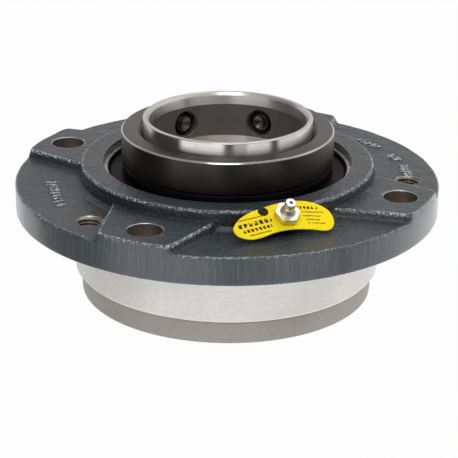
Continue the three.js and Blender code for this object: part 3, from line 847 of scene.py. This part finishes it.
def foundry_marks(x, y):
    """Height of the plain raised bars and pips on the low areas of the flange."""
    height = np.zeros(x.shape)
    rng = np.random.default_rng(7)
    for (start_x, start_y), (end_x, end_y), count, reach in MARK_COLUMNS:
        for i in range(count):
            f = (i + 0.5) / count
            centre_x, centre_y = start_x + (end_x - start_x) * f, start_y + (end_y - start_y) * f
            out = np.array([centre_x, centre_y]) / math.hypot(centre_x, centre_y)
            side = np.array([-out[1], out[0]])
            across = (x - centre_x) * side[0] + (y - centre_y) * side[1]
            outward = (x - centre_x) * out[0] + (y - centre_y) * out[1]
            across = across - rng.uniform(-0.35, 0.35) * outward
            half = reach * rng.uniform(0.7, 1.1)
            distance = np.hypot(np.abs(across), np.maximum(np.abs(outward) - half, 0))
            height = np.maximum(height, 1.0 * np.clip(1.5 - distance, 0, 1))
            for _ in range(2):
                pip_across, pip_out = rng.uniform(-1.6, 1.6), rng.uniform(-reach, reach)
                distance = np.hypot(across - pip_across, outward - pip_out)
                height = np.maximum(height, 0.8 * np.clip(1.35 - distance, 0, 1))
    return height


def housing_outline():
    """The section, finely divided where the casting has relief."""
    def on_top(a, b):
        in_groove = max(a[0], b[0]) < 84.1 and min(a[1], b[1]) < 29
        return min(a[1], b[1]) > 16.5 and min(a[0], b[0]) > 80 and not in_groove

    def on_rim(a, b):
        return min(a[0], b[0]) > 138 and min(a[1], b[1]) < 18

    outline = subdivide(rounded(HOUSING_SECTION, 5), on_top, 0.85)
    return np.array(subdivide(outline, on_rim, 3.0))


def housing_rows(outline, n):
    """The outline turned about Z, with bolt pads, marks and the casting's unevenness."""
    angle = full_turn(n)
    radius = np.repeat(outline[:, :1], n, 1)
    z = np.repeat(outline[:, 1:2], n, 1)
    x, y = radius * np.cos(angle), radius * np.sin(angle)
    top = (z > RELIEF_Z) & (radius > 87)
    outer = radius > 130
    ground = np.where(outer, FLANGE_TOP, z)
    outside = np.maximum(pad_distance(x, y) + 0.4, 0)
    pad = PAD_TOP - PAD_SLOPE * (np.sqrt(outside * outside + PAD_EDGE_R ** 2) - PAD_EDGE_R)
    pad = np.maximum(pad, FLANGE_TOP - 6)
    lift = np.where(top, smooth_max(ground, pad, PAD_BLEND) - ground, 0.0)
    z = z + lift * np.where(outer, np.clip(z - RELIEF_Z, 0, 1), 1.0)
    z = z + np.where(top & (radius < 134), foundry_marks(x, y), 0.0)
    # the casting's own unevenness, a few tenths of a millimetre
    cast = (outline[:, 1] > 16.4) & (outline[:, 0] > 84.5)
    for i in np.where(cast)[0]:
        row_r = outline[i, 0]
        weight = min(1.0, max(0.0, (row_r - 84.5) / 3.0))
        for j in range(n):
            p = Vector((x[i, j], y[i, j], z[i, j]))
            rough = noise.noise(p * 0.10) * 0.30 + noise.noise(p * 0.33) * 0.14
            rough = rough + noise.noise(p * 0.9) * 0.07
            if row_r > 138.0:
                swell = 1 + rough * 0.5 / FLANGE_R
                x[i, j] *= swell
                y[i, j] *= swell
                z[i, j] += rough * 0.5
            else:
                z[i, j] += rough * weight
    return np.stack([x, y, z], -1)


def bolt_cutter(angle):
    flare, lip = BOLT_HOLE_R + 1.4, BOLT_HOLE_R + 0.9
    outline = [(0, -4), (flare, -4), (flare, -0.2), (BOLT_HOLE_R, 1.0),
               (BOLT_HOLE_R, PAD_TOP - 0.45), (lip, PAD_TOP + 0.45), (lip, 34), (0, 34)]
    return revolve("cutter", outline, 96, frame=upright(BOLT_CIRCLE_R, angle))


def jack_cutter(angle):
    """A threaded hole through the flange, chamfered at the top."""
    n, bottom, top = 96, -3.0, 34.0
    rows = thread_rows(JACK_HOLE_R - 0.1, 1.15, COARSE_PITCH, bottom, FLANGE_TOP - 0.9, n, 0.165)
    rows += [ring_row(JACK_HOLE_R - 0.05, FLANGE_TOP - 0.35, n),
             ring_row(JACK_HOLE_R + 0.6, FLANGE_TOP + 0.3, n),
             ring_row(JACK_HOLE_R + 0.6, top, n)]
    return shell("cutter", rows, frame=upright(JACK_CIRCLE_R, angle),
                 ends=((0, 0, bottom), (0, 0, top)))


def housing_rules(ob):
    """Which faces of the housing get which material; later rules win."""
    centre, normal = face_data(ob)
    x, y, z = centre.T
    r, tilt = np.hypot(x, y), np.abs(normal[:, 2])
    low = (z > FLANGE_TOP + 0.35) & (z < FLANGE_TOP + 2.2) & (r > 104) & (r < 131)
    low = low & (pad_distance(x, y) > 3.0)
    rules = [
        (low & (foundry_marks(x, y) > 0.45), MARKS),
        ((r > 138.0) & (tilt < 0.75) & (z > -0.5), RIM),
        ((z < 0.9) & (z > -42.9) & (r < FLANGE_R - 0.9) & (r > 93.5), PILOT),
        ((z < -42.0) & (r > 93.2), SKIRT),
        ((r < 82.4) & (z > 16), BORE),
        ((r <= 93.2) & (z < 18.4), SEAT),
        ((r < 84.3) & (z < 26.5) & (z > 23.5), SEAT),
    ]
    for angle in BOLT_ANGLES:
        hole = polar(BOLT_CIRCLE_R, angle, 0)
        away = np.hypot(x - hole.x, y - hole.y)
        rules.append(((away < BOLT_HOLE_R + 0.15) & (tilt < 0.5), HOLE))
        lip = (away < BOLT_HOLE_R + 1.6) & (away > BOLT_HOLE_R - 0.05)
        rules.append((lip & (tilt > 0.3) & (tilt < 0.93), BRIGHT))
    for angle in JACK_ANGLES:
        hole = polar(JACK_CIRCLE_R, angle, 0)
        away = np.hypot(x - hole.x, y - hole.y)
        inside = (away < JACK_HOLE_R - 0.02) & (tilt < 0.97)
        lip = (away < JACK_HOLE_R + 1.0) & ~inside & (tilt < 0.93) & (z > FLANGE_TOP - 1)
        rules += [(inside, HOLE), (lip, BRIGHT)]
    return rules


def housing():
    ob = shell("housing_casting", housing_rows(housing_outline(), 1080))
    holes = join([bolt_cutter(a) for a in BOLT_ANGLES] + [jack_cutter(a) for a in JACK_ANGLES])
    # a round spot face for the fitting, kept out of the housing's inside
    spot = revolve("cutter", rounded([(0, -15), (8.6, -15), (8.6, -0.9, 0), (7.7, -0.3, 0.4),
                                      (0, -0.3)]), 64, frame=FIT_FRAME)
    cut(spot, [cylinder(94.0, -1, 29, 180)])
    cut(ob, [spot], "UNION")
    cut(ob, [holes])
    passage = [(0, -21.0), (2.4, -21.0), (2.4, -12.6), (5.2, -11.9), (5.2, 3), (0, 3)]
    cut(ob, [revolve("cutter", passage, 48, frame=FIT_FRAME)])
    cut(ob, [cylinder(PIN_R + 0.35, 17.5, 24.4, 32, upright(PIN_CIRCLE_R, PIN_ANGLE))])
    mats = [PAINT, RIM, PILOT, SKIRT, BORE, SEAT, HOLE, BRIGHT, MARKS]
    finish(ob, mats, 40, housing_rules(ob))
    place(ob, "housing", "housing")


# ---------------------------------------------------------------- bearing
def outer_race():
    """The outer ring, with a spherical raceway, three oil holes and a hole for the pin."""
    raceway = [(math.sqrt(SPHERE_R ** 2 - s * s), RACE_Z + s) for s in np.linspace(21.5, -21.5, 33)]
    bottom, top = RACE_Z - RACE_HALF, RACE_Z + RACE_HALF
    body = rounded([(raceway[-1][0] + 0.7, bottom, 0.3), (RACE_R, bottom, 1.6),
                    (RACE_R, top, 1.6), (raceway[0][0] + 0.7, top, 0.3)])
    ob = revolve("outer_race_ring", body + raceway)
    at_pin = upright(PIN_CIRCLE_R, PIN_ANGLE)
    cutters = [cylinder(1.8, 70, 95, 32, spoke(a, RACE_Z)) for a in (30, 150, 270)]
    cut(ob, cutters + [cylinder(PIN_R + 0.45, top - 4.2, top + 2, 32, at_pin)])
    finish(ob, [BEARING], 36)
    place(ob, "housing", "outer_race")

    outline = rounded([(0, top - 3.8), (PIN_R, top - 3.8, 0.5), (PIN_R, 23.9, 0.5), (0, 23.9)])
    pin = revolve("locating_pin", outline, 48, [BEARING], at_pin)
    place(pin, "housing", "anti_rotation_pin")


def roller_radius(s):
    """Radius of the crowned barrel at distance s from its middle."""
    return ROLLER_R - s * s / (2 * CROWN_R)


def inner_ring():
    def track(s, row):
        reach = roller_radius(s) + 0.32
        return (PITCH_R - CONTACT_SIN * s - CONTACT_COS * reach,
                RACE_Z + row * (ROW_Z + CONTACT_COS * s - CONTACT_SIN * reach))

    front = [track(s, 1) for s in np.linspace(9.9, -9.9, 17)]
    rear = [track(s, -1) for s in np.linspace(-9.9, 9.9, 17)]
    upper = rounded([
        (SHAFT_R, 51.6, 0.3), (SHAFT_R + 1.35, 57.5, 0.3), (SHAFT_R + 2.7, RING_TOP - 0.1, 0.3),
        (SHAFT_R + 3.0, RING_TOP, 0.1), (RING_R, RING_TOP, 0.8), (RING_R, 30.0, 0.2),
        (LAND_R, 29.7, 0.2), (LAND_R, RACE_Z + RACE_HALF + 0.6, 0.2),
        (RACEWAY_EDGE_R, RACE_Z + RACE_HALF - 0.6, 0.3), (RACEWAY_EDGE_R, front[0][1] + 0.5, 0.2),
    ])
    lower = rounded([
        (RACEWAY_EDGE_R, rear[-1][1] - 0.5, 0.2), (RACEWAY_EDGE_R, RACE_Z - RACE_HALF + 0.6, 0.3),
        (LAND_R, RACE_Z - RACE_HALF - 0.6, 0.2), (LAND_R, RING_END, 1.0),
        (SHAFT_R + 1.3, RING_END, 0.2), (SHAFT_R, RING_END + 1.3, 0.3),
    ])
    ob = revolve("inner_ring_sleeve", upper + front + rear + lower, 288)
    # clearance holes for the set screws, slightly waisted
    clearance = [(0, 40), (9.35, 40), (9.35, 50.05), (8.9, 50.6), (8.9, 54.9), (9.4, 55.6),
                 (9.4, 62), (0, 62)]
    cut(ob, [revolve("cutter", clearance, 80, frame=spoke(a, SCREW_Z)) for a in SCREW_ANGLES])

    centre, normal = face_data(ob)
    x, y, z = centre.T
    r = np.hypot(x, y)
    inward = (normal[:, 0] * x + normal[:, 1] * y) / np.maximum(r, 1e-6) < -0.5
    rules = [
        (z > RING_TOP - 0.95, RING_FACE),
        (inward & (r < 52.6) & (z > 51.7), RING_FACE),
        ((r < 50.2) & (z < 51.7), RING_BORE),
        ((r > 58.0) & (z < 19), BEARING),
    ]
    for angle in SCREW_ANGLES:  # the clearance holes get the bore's painted shade
        out = radial(angle)
        off = np.hypot(-x * out.y + y * out.x, z - SCREW_Z)
        in_hole = (x * out.x + y * out.y > 40) & (off < 9.6) & (r > 49.8) & (r < 55.3)
        rules.append((in_hole, RING_BORE))
    finish(ob, [RING_OUT, RING_FACE, RING_BORE, BEARING], 30, rules)
    place(ob, "shaft_assembly", "inner_ring")


def roller_frame(row, i):
    """Frame of roller i: row 1 is the front one, row -1 the rear one, half a step round."""
    angle = (i + (0.5 if row < 0 else 0)) * 360.0 / ROLLERS
    axis = radial(angle) * (-row * CONTACT_SIN) + Vector((0, 0, CONTACT_COS))
    return along(axis, polar(PITCH_R, angle, RACE_Z + row * ROW_Z))


def rollers():
    end_z = -ROLLER_LENGTH / 2
    end = rounded([(0, end_z), (5.2, end_z), (5.6, end_z + 0.25),
                   (roller_radius(9.5), end_z, 0.7), (roller_radius(8.4), -8.4)])
    end = end[:-1] + [(roller_radius(8.7), -8.7)]
    barrel = [(roller_radius(s), s) for s in np.linspace(-8.0, 8.0, 11)]
    outline = end + barrel + [(r, -z) for r, z in reversed(end)]
    for row, label in ((1, "front"), (-1, "rear")):
        for i in range(ROLLERS):
            node = f"roller_{label}_{i + 1:02d}"
            ob = revolve(node + "_barrel", outline, 48, [BEARING], roller_frame(row, i))
            place(ob, node, node)


def cage():
    half, middle, wall = 20.8, 4, 2.6  # half height, half height of the waist, half thickness

    def cone(z):
        return PITCH_R - (abs(z) - ROW_Z) * math.tan(CONTACT)

    end_r, middle_r = cone(half), cone(middle)
    ob = revolve("cage_body", rounded([
        (end_r - wall, RACE_Z - half, 0.4), (end_r + wall, RACE_Z - half, 0.6),
        (middle_r + wall, RACE_Z - middle, 1.0), (middle_r + wall, RACE_Z + middle, 1.0),
        (end_r + wall, RACE_Z + half, 0.6), (end_r - wall, RACE_Z + half, 0.4),
        (middle_r - wall, RACE_Z + middle, 1.0), (middle_r - wall, RACE_Z - middle, 1.0),
    ]), 192)
    # roller pockets, open towards the cage's ends
    for row, z0, z1 in ((1, -9.85, 16), (-1, -16, 9.85)):
        pockets = [cylinder(10.95, z0, z1, 40, roller_frame(row, i)) for i in range(ROLLERS)]
        cut(ob, [join(pockets)])
    finish(ob, [BRASS], 40)
    place(ob, "cage", "cage")


def guide_ring():
    inner, outer = 60.3, 66.2

    def half_width(r):
        return 1.49 + (r - 60.13) * 0.1853 - 0.45

    ob = revolve("guide_ring_band", rounded([
        (inner, RACE_Z - half_width(inner), 0.2), (outer, RACE_Z - half_width(outer), 0.5),
        (outer, RACE_Z + half_width(outer), 0.5), (inner, RACE_Z + half_width(inner), 0.2),
    ]), 192, [BEARING])
    place(ob, "cage", "guide_ring")


# ---------------------------------------------------------------- seals and snap rings
# Sections: (r, z, corner radius)
FRONT_CASE = (
    (63.5, 22.1, 0.3), (76.0, 22.1, 0.3), (77.2, 21.4, 0.4), (79.3, 21.4, 0.4),
    (79.3, 18.6, 0.3), (81.2, 18.6, 0.3), (81.2, 22.7, 0.8), (77.8, 22.7, 0.5),
    (76.6, 23.4, 0.5), (63.5, 23.4, 0.4),
)
REAR_CASE = (
    (63.5, -33.9, 0.4), (76.0, -33.9, 0.6), (77.5, -33.2, 0.6), (84.0, -33.2, 0.6),
    (85.5, -33.9, 0.6), (89.8, -33.9, 0.7), (89.8, -28.4, 0.4), (87.9, -28.4, 0.4),
    (87.9, -32.1, 0.4), (86.0, -32.1, 0.4), (84.6, -31.9, 0.4), (77.2, -31.9, 0.5),
    (75.6, -32.5, 0.5), (63.5, -32.5, 0.4),
)
FLINGER = (
    (LAND_R + 0.3, 24.9, 0.3), (60.0, 24.9, 0.3), (60.0, 27.9, 0.6), (67.2, 27.9, 0.6),
    (67.2, 25.4, 0.2), (69.0, 25.4, 0.2), (69.0, 29.7, 1.1), (LAND_R + 0.3, 29.7, 0.3),
)


def seal_lip(z, out):
    """A lip section from height z; out is 1 if it rises from there, -1 if it falls."""
    return ((LAND_R + 0.3, z, 0.3), (73.0, z, 0.5), (73.0, z + out * 1.4, 0.5),
            (61.8, z + out * 1.4, 0.7), (61.8, z + out * 3.4, 0.3), (61.0, z + out * 4.4, 0.3),
            (LAND_R + 0.7, z + out * 4.4, 0.3), (LAND_R + 0.3, z + out * 3.6, 0.3))


def seals():
    for node, suffix, section, mat, body, slot in (
        ("front_seal_case", "_shell", FRONT_CASE, CASE, "housing", "seal_case"),
        ("rear_seal_case", "_shell", REAR_CASE, CASE, "housing", "seal_case"),
        ("front_seal_lip", "_ring", seal_lip(18.9, 1), RUBBER, "alignment", "seal_rubber"),
        ("rear_seal_lip", "_ring", seal_lip(-28.9, -1), RUBBER, "alignment", "seal_rubber"),
        ("flinger", "_disc", FLINGER, FLING, "shaft_assembly", "seal_case"),
    ):
        place(revolve(node + suffix, rounded(section), mats=[mat]), body, node)


def snap_ring(node, inner, outer, z0, z1, gap_angle, eye):
    """A flat ring, split at gap_angle, with a rounded eye for the pliers at each end."""
    n, gap, bevel = 300, 7.0, 0.22
    half_gap = math.degrees(gap / 2 / inner)
    eye_span = math.degrees(eye * 1.24 / inner)
    rows = []
    for k in range(n + 1):
        angle = half_gap + (360 - 2 * half_gap) * k / n
        s = min(angle - half_gap, 360 - half_gap - angle) / eye_span  # 0 to 1 across an eye
        r_in, r_out = inner, outer
        if s < 1:
            bulge = eye * 0.55 * math.sqrt(max(0.0, 1 - (2 * s - 1) ** 2))
            r_in = inner - bulge * 0.62
            drop = 1 - math.sqrt(max(0.0, 1 - (1 - min(1, 2 * s)) ** 2))
            r_out = outer - drop * (outer - inner) * 0.6
        section = [(r_in, z0 + bevel), (r_in + bevel, z0), (r_out - bevel, z0),
                   (r_out, z0 + bevel), (r_out, z1 - bevel), (r_out - bevel, z1),
                   (r_in + bevel, z1), (r_in, z1 - bevel)]
        out = radial(gap_angle + angle)
        rows.append([(out.x * r, out.y * r, z) for r, z in section])
    ob = tube(node + "_clip", rows)
    reach = half_gap + eye_span / 2
    cut(ob, [join([cylinder(1.3, z0 - 1, z1 + 1, 32, upright(inner + 0.9, gap_angle + side * reach))
                   for side in (-1, 1)])])
    finish(ob, [SPRING], 36)
    place(ob, "housing", node)


# ---------------------------------------------------------------- collar and set screws
def collar():
    ob = revolve("locking_collar_ring", rounded([
        (COLLAR_BORE, COLLAR_END, 0.4), (COLLAR_R, COLLAR_END, 1.2),
        (COLLAR_R, COLLAR_TOP - COLLAR_CHAMFER, 0.2), (COLLAR_R - COLLAR_CHAMFER, COLLAR_TOP, 0.2),
        (COLLAR_BORE + 3.4, COLLAR_TOP, 0.3), (COLLAR_BORE + 0.2, COLLAR_TOP - 3.2, 0.3),
        (COLLAR_BORE, COLLAR_TOP - 3.6, 0.2),
    ]), 288)
    n, start, end = 80, 50.0, 80.0
    for angle in SCREW_ANGLES:  # threaded holes, chamfered outside
        rows = thread_rows(SCREW_R + 0.75, 0.62, COARSE_PITCH, start, 68.4, n, 0.23)
        rows += [ring_row(SCREW_R + 0.15, 68.5, n), ring_row(SCREW_R + 1.3, 69.7, n),
                 ring_row(SCREW_R + 1.3, end, n)]
        cut(ob, [shell("cutter", rows, frame=spoke(angle, SCREW_Z),
                       ends=((0, 0, start), (0, 0, end)))])
    centre, normal = face_data(ob)
    r, z, up = np.hypot(centre[:, 0], centre[:, 1]), centre[:, 2], normal[:, 2]
    chamfer = (r > COLLAR_R - 0.98) & (z > COLLAR_TOP - 0.98) & (up > 0.4) & (up < 0.95)
    finish(ob, [BLACK, CHAMFER], 30, [(chamfer, CHAMFER)])
    place(ob, "shaft_assembly", "locking_collar")


# The screw's cup point and outer end: (r, distance from the tip) and (r, distance from the end)
SCREW_POINT = (
    (1.6, 2.2), (3.4, 1.05), (4.5, 0.25), (4.75, 0.04), (5.0, 0), (5.35, 0.1), (5.6, 0.4),
    (6.15, 1.3), (6.3, 1.6),
)
SCREW_END = ((6.2, -0.25), (5.9, -0.06), (5.6, 0), (5.1, 0), (4.75, -0.2))
SCREW_SOCKET = ((1.0, -0.75), (1.0, -7.0), (0.93, -7.2))  # (scale of the hexagon, distance)


def set_screw(node, angle):
    n = 96
    rows = [ring_row(r, SCREW_TIP + dz, n) for r, dz in SCREW_POINT]
    rows += thread_rows(SCREW_R, 1.25, COARSE_PITCH, SCREW_TIP + 1.8, SCREW_OUT - 0.5, n, 0.21,
                        fade_in=1.6, fade_out=1.0)
    rows += [ring_row(r, SCREW_OUT + dz, n) for r, dz in SCREW_END]
    socket = hexagon(SOCKET_FLAT, n)
    rows += [ring_row(socket * scale, SCREW_OUT + dz, n) for scale, dz in SCREW_SOCKET]
    rows.append(ring_row(2.2, SCREW_OUT - 7.6, n))
    ob = shell(node + "_body", rows, [SCREW], spoke(angle, SCREW_Z),
               ends=((0, 0, SCREW_TIP + 2.6), (0, 0, SCREW_OUT - 8.6)), smooth=28)
    place(ob, node, node)


# ---------------------------------------------------------------- grease fitting and tag
# The fitting above its hexagon, round its mouth and down its bore: (r, z) in its own frame
NIPPLE = (
    (5.4, 5.5), (5.0, 5.55), (4.75, 5.75), (4.5, 6.15), (4.25, 6.7), (4.0, 7.4), (3.82, 8.2),
    (3.7, 9.0), (3.58, 9.5), (3.2, 9.95), (2.98, 10.3), (3.05, 10.75), (3.3, 11.15),
    (3.45, 11.7), (3.47, 12.6), (3.42, 13.4), (3.2, 13.95), (2.75, 14.3), (1.3, 14.3),
    (1.05, 14.1), (0.95, 13.7), (1.7, 13.0), (1.7, -9.0), (1.9, -10.9),
)
COIL_FOOT = 1.0


def fitting_body():
    """A ring in section, so the bore stays open through the shank."""
    n, bottom, top, chamfer_r = 96, 1.2, 5.5, 7.75
    flats = hexagon(HEX_R * math.cos(math.pi / 6), n, turn=math.radians(HEX_TURN + 30))
    trimmed = np.minimum(flats, chamfer_r)
    drop = np.maximum(flats - chamfer_r, 0) * 0.62  # the hexagon's chamfered corners
    rows = [ring_row(4.4, -11.0, n), ring_row(4.9, -10.5, n)]
    rows += thread_rows(5.05, 0.55, FITTING_PITCH, -10.2, 0.0, n, 0.118,
                        fade_in=0.6, fade_out=0.5)
    hexagon_profile = (
        (4.5, 0.6), (4.6, 1.15), (trimmed - 0.3, bottom), (flats, bottom + drop + 0.15),
        (flats, top - drop - 0.15), (trimmed - 0.25, top),
    )
    rows += [ring_row(r, z, n) for r, z in hexagon_profile + NIPPLE]
    ob = shell("grease_fitting_body", rows, [ZINC], FIT_FRAME, smooth=30)
    place(ob, "housing", "grease_fitting")


def check_ball():
    radius, z, steps = 1.3, 11.8, 16
    arc = [math.pi * k / steps for k in range(1, steps)]
    outline = [(radius * math.sin(t), z - radius * math.cos(t)) for t in arc]
    outline = [(0, z - radius)] + outline + [(0, z + radius)]
    ob = revolve("fitting_ball", outline, 32, [BEARING], FIT_FRAME)
    place(ob, "check_ball", "fitting_check_ball")


def fitting_coil():
    """A spring whose end turns lie almost flat."""
    turns, steps, sides = 8.0, 220, 10
    coil_r, wire_r, rise = 1.2, 0.2, 8.95 - 0.5
    up = np.array([0, 0, 1.0])
    rows = []
    for i in range(steps + 1):
        t = i / steps
        angle = t * 2 * math.pi * turns
        climb = min(max((t * turns - 0.8) / (turns - 1.6), 0), 1)
        z = COIL_FOOT + 0.25 + rise * (climb * 0.93 + 0.07 * t)
        centre = np.array([coil_r * math.cos(angle), coil_r * math.sin(angle), z])
        out = np.array([math.cos(angle), math.sin(angle), 0])
        around = [2 * math.pi * j / sides for j in range(sides)]
        rows.append([centre + wire_r * (math.cos(b) * out + math.sin(b) * up) for b in around])
    ob = tube("fitting_coil", rows, [SPRING], FIT_FRAME, smooth=60)
    place(ob, "housing", "fitting_spring")
    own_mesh(ob)


# (x in the scene, distance down the plate's slope from the fitting's axis)
TAG_OUTLINE = (
    (-36.2, 3.45), (-36.0, 8.75), (-32.5, 11.9), (-27.4, 13.5), (-20.8, 13.0), (-13.7, 11.15),
    (-7.0, 10.15), (-0.4, 10.1), (5.85, 10.85), (12.0, 12.05), (17.9, 13.75), (23.0, 13.9),
    (26.9, 10.3), (28.0, 4.35), (26.5, -0.9), (22.1, -5.45), (16.0, -8.75), (9.2, -10.35),
    (1.4, -10.55), (-6.8, -9.7), (-15.1, -8.05), (-23.5, -5.7), (-30.5, -2.3),
)
TAG_HOLE_R, TAG_BOTTOM, TAG_TOP, TAG_BEVEL = 5.3, 0.05, 0.85, 0.22


def tag_edge():
    """The tag's outline as a closed Catmull-Rom curve."""
    points = np.array([(x - FIT_X, -down) for x, down in TAG_OUTLINE])
    n = len(points)
    edge = []
    for i in range(n):
        p0, p1, p2, p3 = points[i - 1], points[i], points[(i + 1) % n], points[(i + 2) % n]
        for k in range(8):
            t = k / 8
            edge.append(0.5 * ((2 * p1) + (-p0 + p2) * t
                               + (2 * p0 - 5 * p1 + 4 * p2 - p3) * t * t
                               + (-p0 + 3 * p1 - 3 * p2 + p3) * t ** 3))
    return np.array(edge)


def tag():
    """A thin flat plate with bevelled edges and a round hole for the fitting."""
    edge = tag_edge()
    angle = np.arctan2(edge[:, 1], edge[:, 0])
    first = int(np.argmin(angle))
    edge, angle = np.roll(edge, -first, axis=0), np.roll(angle, -first)
    tangent = np.roll(edge, -1, 0) - np.roll(edge, 1, 0)
    tangent /= np.linalg.norm(tangent, axis=1)[:, None]
    normal = np.stack([tangent[:, 1], -tangent[:, 0]], -1)
    inset = edge - normal * TAG_BEVEL
    # the hole's points lie in the same directions as the outline's
    hole = np.stack([np.cos(angle), np.sin(angle)], -1) * TAG_HOLE_R
    between = [inset * (1 - f) + hole * f for f in np.linspace(0.12, 0.88, 6)]
    layers = [(inset, TAG_BOTTOM), (edge, TAG_BOTTOM + TAG_BEVEL), (edge, TAG_TOP - TAG_BEVEL)]
    layers += [(points, TAG_TOP) for points in [inset, *between, hole]]
    layers += [(points, TAG_BOTTOM) for points in [hole, *between[::-1]]]
    rows = [np.column_stack([points, np.full(len(points), z)]) for points, z in layers]
    ob = shell("tag_plate", rows, [TAG], FIT_FRAME, smooth=40)
    place(ob, "housing", "name_tag")


housing()
outer_race()
inner_ring()
rollers()
cage()
guide_ring()
seals()
snap_ring("front_snap_ring", inner=78.6, outer=83.6, z0=24.0, z1=26.1, gap_angle=90, eye=5)
snap_ring("rear_snap_ring", inner=86.0, outer=92.6, z0=-37.2, z1=-34.6, gap_angle=270, eye=6)
collar()
for key, screw_angle in zip("ab", SCREW_ANGLES):
    set_screw(f"set_screw_{key}", screw_angle)
fitting_body()
check_ball()
fitting_coil()
tag()


# ---------------------------------------------------------------- stage, in metres
def floor():
    """A pale floor that only the camera sees, from above; studio light passes through it."""
    half, z = 6, -0.0006
    corners = [(-half, -half, z), (half, -half, z), (half, half, z), (-half, half, z)]
    mesh = bpy.data.meshes.new("floor")
    mesh.from_pydata(corners, [], [(0, 1, 2, 3)])
    ob = add_object("floor", mesh)
    material = bpy.data.materials.new("pale_floor")
    material.use_nodes = True
    graph = Graph(material.node_tree)
    camera_ray = graph.node("LightPath").outputs["Is Camera Ray"]
    from_below = graph.node("NewGeometry").outputs["Backfacing"]
    seen = graph.math("SUBTRACT", camera_ray, from_below, clamp=True)
    clear = graph.node("BsdfTransparent").outputs[0]
    pale = graph.node("Emission", (0.985, 0.985, 0.985)).outputs[0]
    graph.node("OutputMaterial", graph.node("MixShader", seen, clear, pale).outputs[0])
    mesh.materials.append(material)


# Bright panels round the studio: (from, to, strength), in degrees from the camera's bearing
# towards its right, seen from above
CAMERA_BEARING = -111.0
LOW_PANELS = ((-64, -5, 1.42), (8, 26, 0.6), (26, 58, 1.12))
WALL_PANELS = ((70, 116, 1.0), (116, 165, 0.9), (165, 240, 0.75))
PANELS_BELOW = ((104, 180, 0.4), (180, 246, 0.28))
PANEL_SOFT = 3.0


def studio():
    """The world: panels light the scene, while the camera sees plain white."""
    world = bpy.data.worlds.new("studio")
    bpy.context.scene.world = world
    world.use_nodes = True
    sky = Graph(world.node_tree, "Generated")
    x, y, z = sky.xyz()
    square = sky.math("ADD", sky.times(x, x), sky.times(y, y))
    flat = sky.math("MAXIMUM", sky.math("SQRT", square), 0.001)

    def panel(start, end):
        middle, half = math.radians(CAMERA_BEARING + (start + end) / 2), (end - start) / 2
        toward = sky.math("MULTIPLY_ADD", x, math.cos(middle), sky.times(y, math.sin(middle)))
        outside = math.cos(math.radians(min(half + PANEL_SOFT, 179)))
        inside = math.cos(math.radians(max(half - PANEL_SOFT, 0)))
        return sky.span(sky.math("DIVIDE", toward, flat), over=(outside, inside))

    low = sky.value(0.0)
    for start, end, strength in LOW_PANELS:
        low = sky.math("MULTIPLY_ADD", panel(start, end), strength, low)
    near_horizon = sky.span(z, over=(0.34, 0.06), to=(0.35, 1.0))
    wall = sky.math("MULTIPLY_ADD", low, near_horizon, sky.value(0.05))
    for start, end, strength in WALL_PANELS:
        wall = sky.math("MULTIPLY_ADD", panel(start, end), strength, wall)
    overhead = sky.math("ADD", sky.span(z, over=(0.30, 0.72), to=(0.0, 0.6)), 0.0)
    level = sky.math("ADD", sky.times(wall, sky.span(z, over=(0.85, 0.5))), overhead)
    level = sky.math("ADD", level, sky.span(z, over=(-0.25, -0.7), to=(0.0, 0.4)))
    below = sky.span(z, over=(0.0, -0.2))
    for start, end, strength in PANELS_BELOW:
        share = sky.times(panel(start, end), below)
        level = sky.math("MULTIPLY_ADD", share, strength, level)

    white = (1.0, 1.0, 1.0)
    lit = sky.node("Background", white, level).outputs[0]
    plain = sky.node("Background", white, 1.0).outputs[0]
    camera_ray = sky.node("LightPath").outputs["Is Camera Ray"]
    sky.node("OutputWorld", sky.node("MixShader", camera_ray, lit, plain).outputs[0])


def area_light(name, location, power, size=0.42, target=(0, 0, 0.08)):
    light = bpy.data.lights.new(name, "AREA")
    light.energy = power
    light.shape = "RECTANGLE"
    light.size = light.size_y = size
    ob = add_object(name, light)
    ob.location = location
    aim = Vector(target) - Vector(location)
    ob.rotation_euler = aim.to_track_quat("-Z", "Y").to_euler()


def camera():
    data = bpy.data.cameras.new("camera")
    ob = add_object("camera", data)
    data.sensor_width = 36.0
    data.lens = 127.51
    data.clip_start, data.clip_end = 0.05, 50.0
    position = Vector((-360.6, -939.35, 445.9)) * 0.001
    target = Vector((1.44, -0.55, 38.0)) * 0.001
    roll = math.radians(0.658)
    forward = (target - position).normalized()
    right = forward.cross(Vector((0, 0, 1))).normalized()
    up = right.cross(forward)
    ob.matrix_world = basis(right * math.cos(roll) + up * math.sin(roll),
                            up * math.cos(roll) - right * math.sin(roll), -forward, position)
    bpy.context.scene.camera = ob


floor()
studio()
area_light("key", location=(-0.25, -0.52, 0.95), power=3.4)
area_light("over", location=(0.36, 0.02, 1.08), power=2.4)
camera()
view = bpy.context.scene.view_settings
view.view_transform = "Standard"
view.look = "None"
view.exposure = 0.0
view.gamma = 1.0
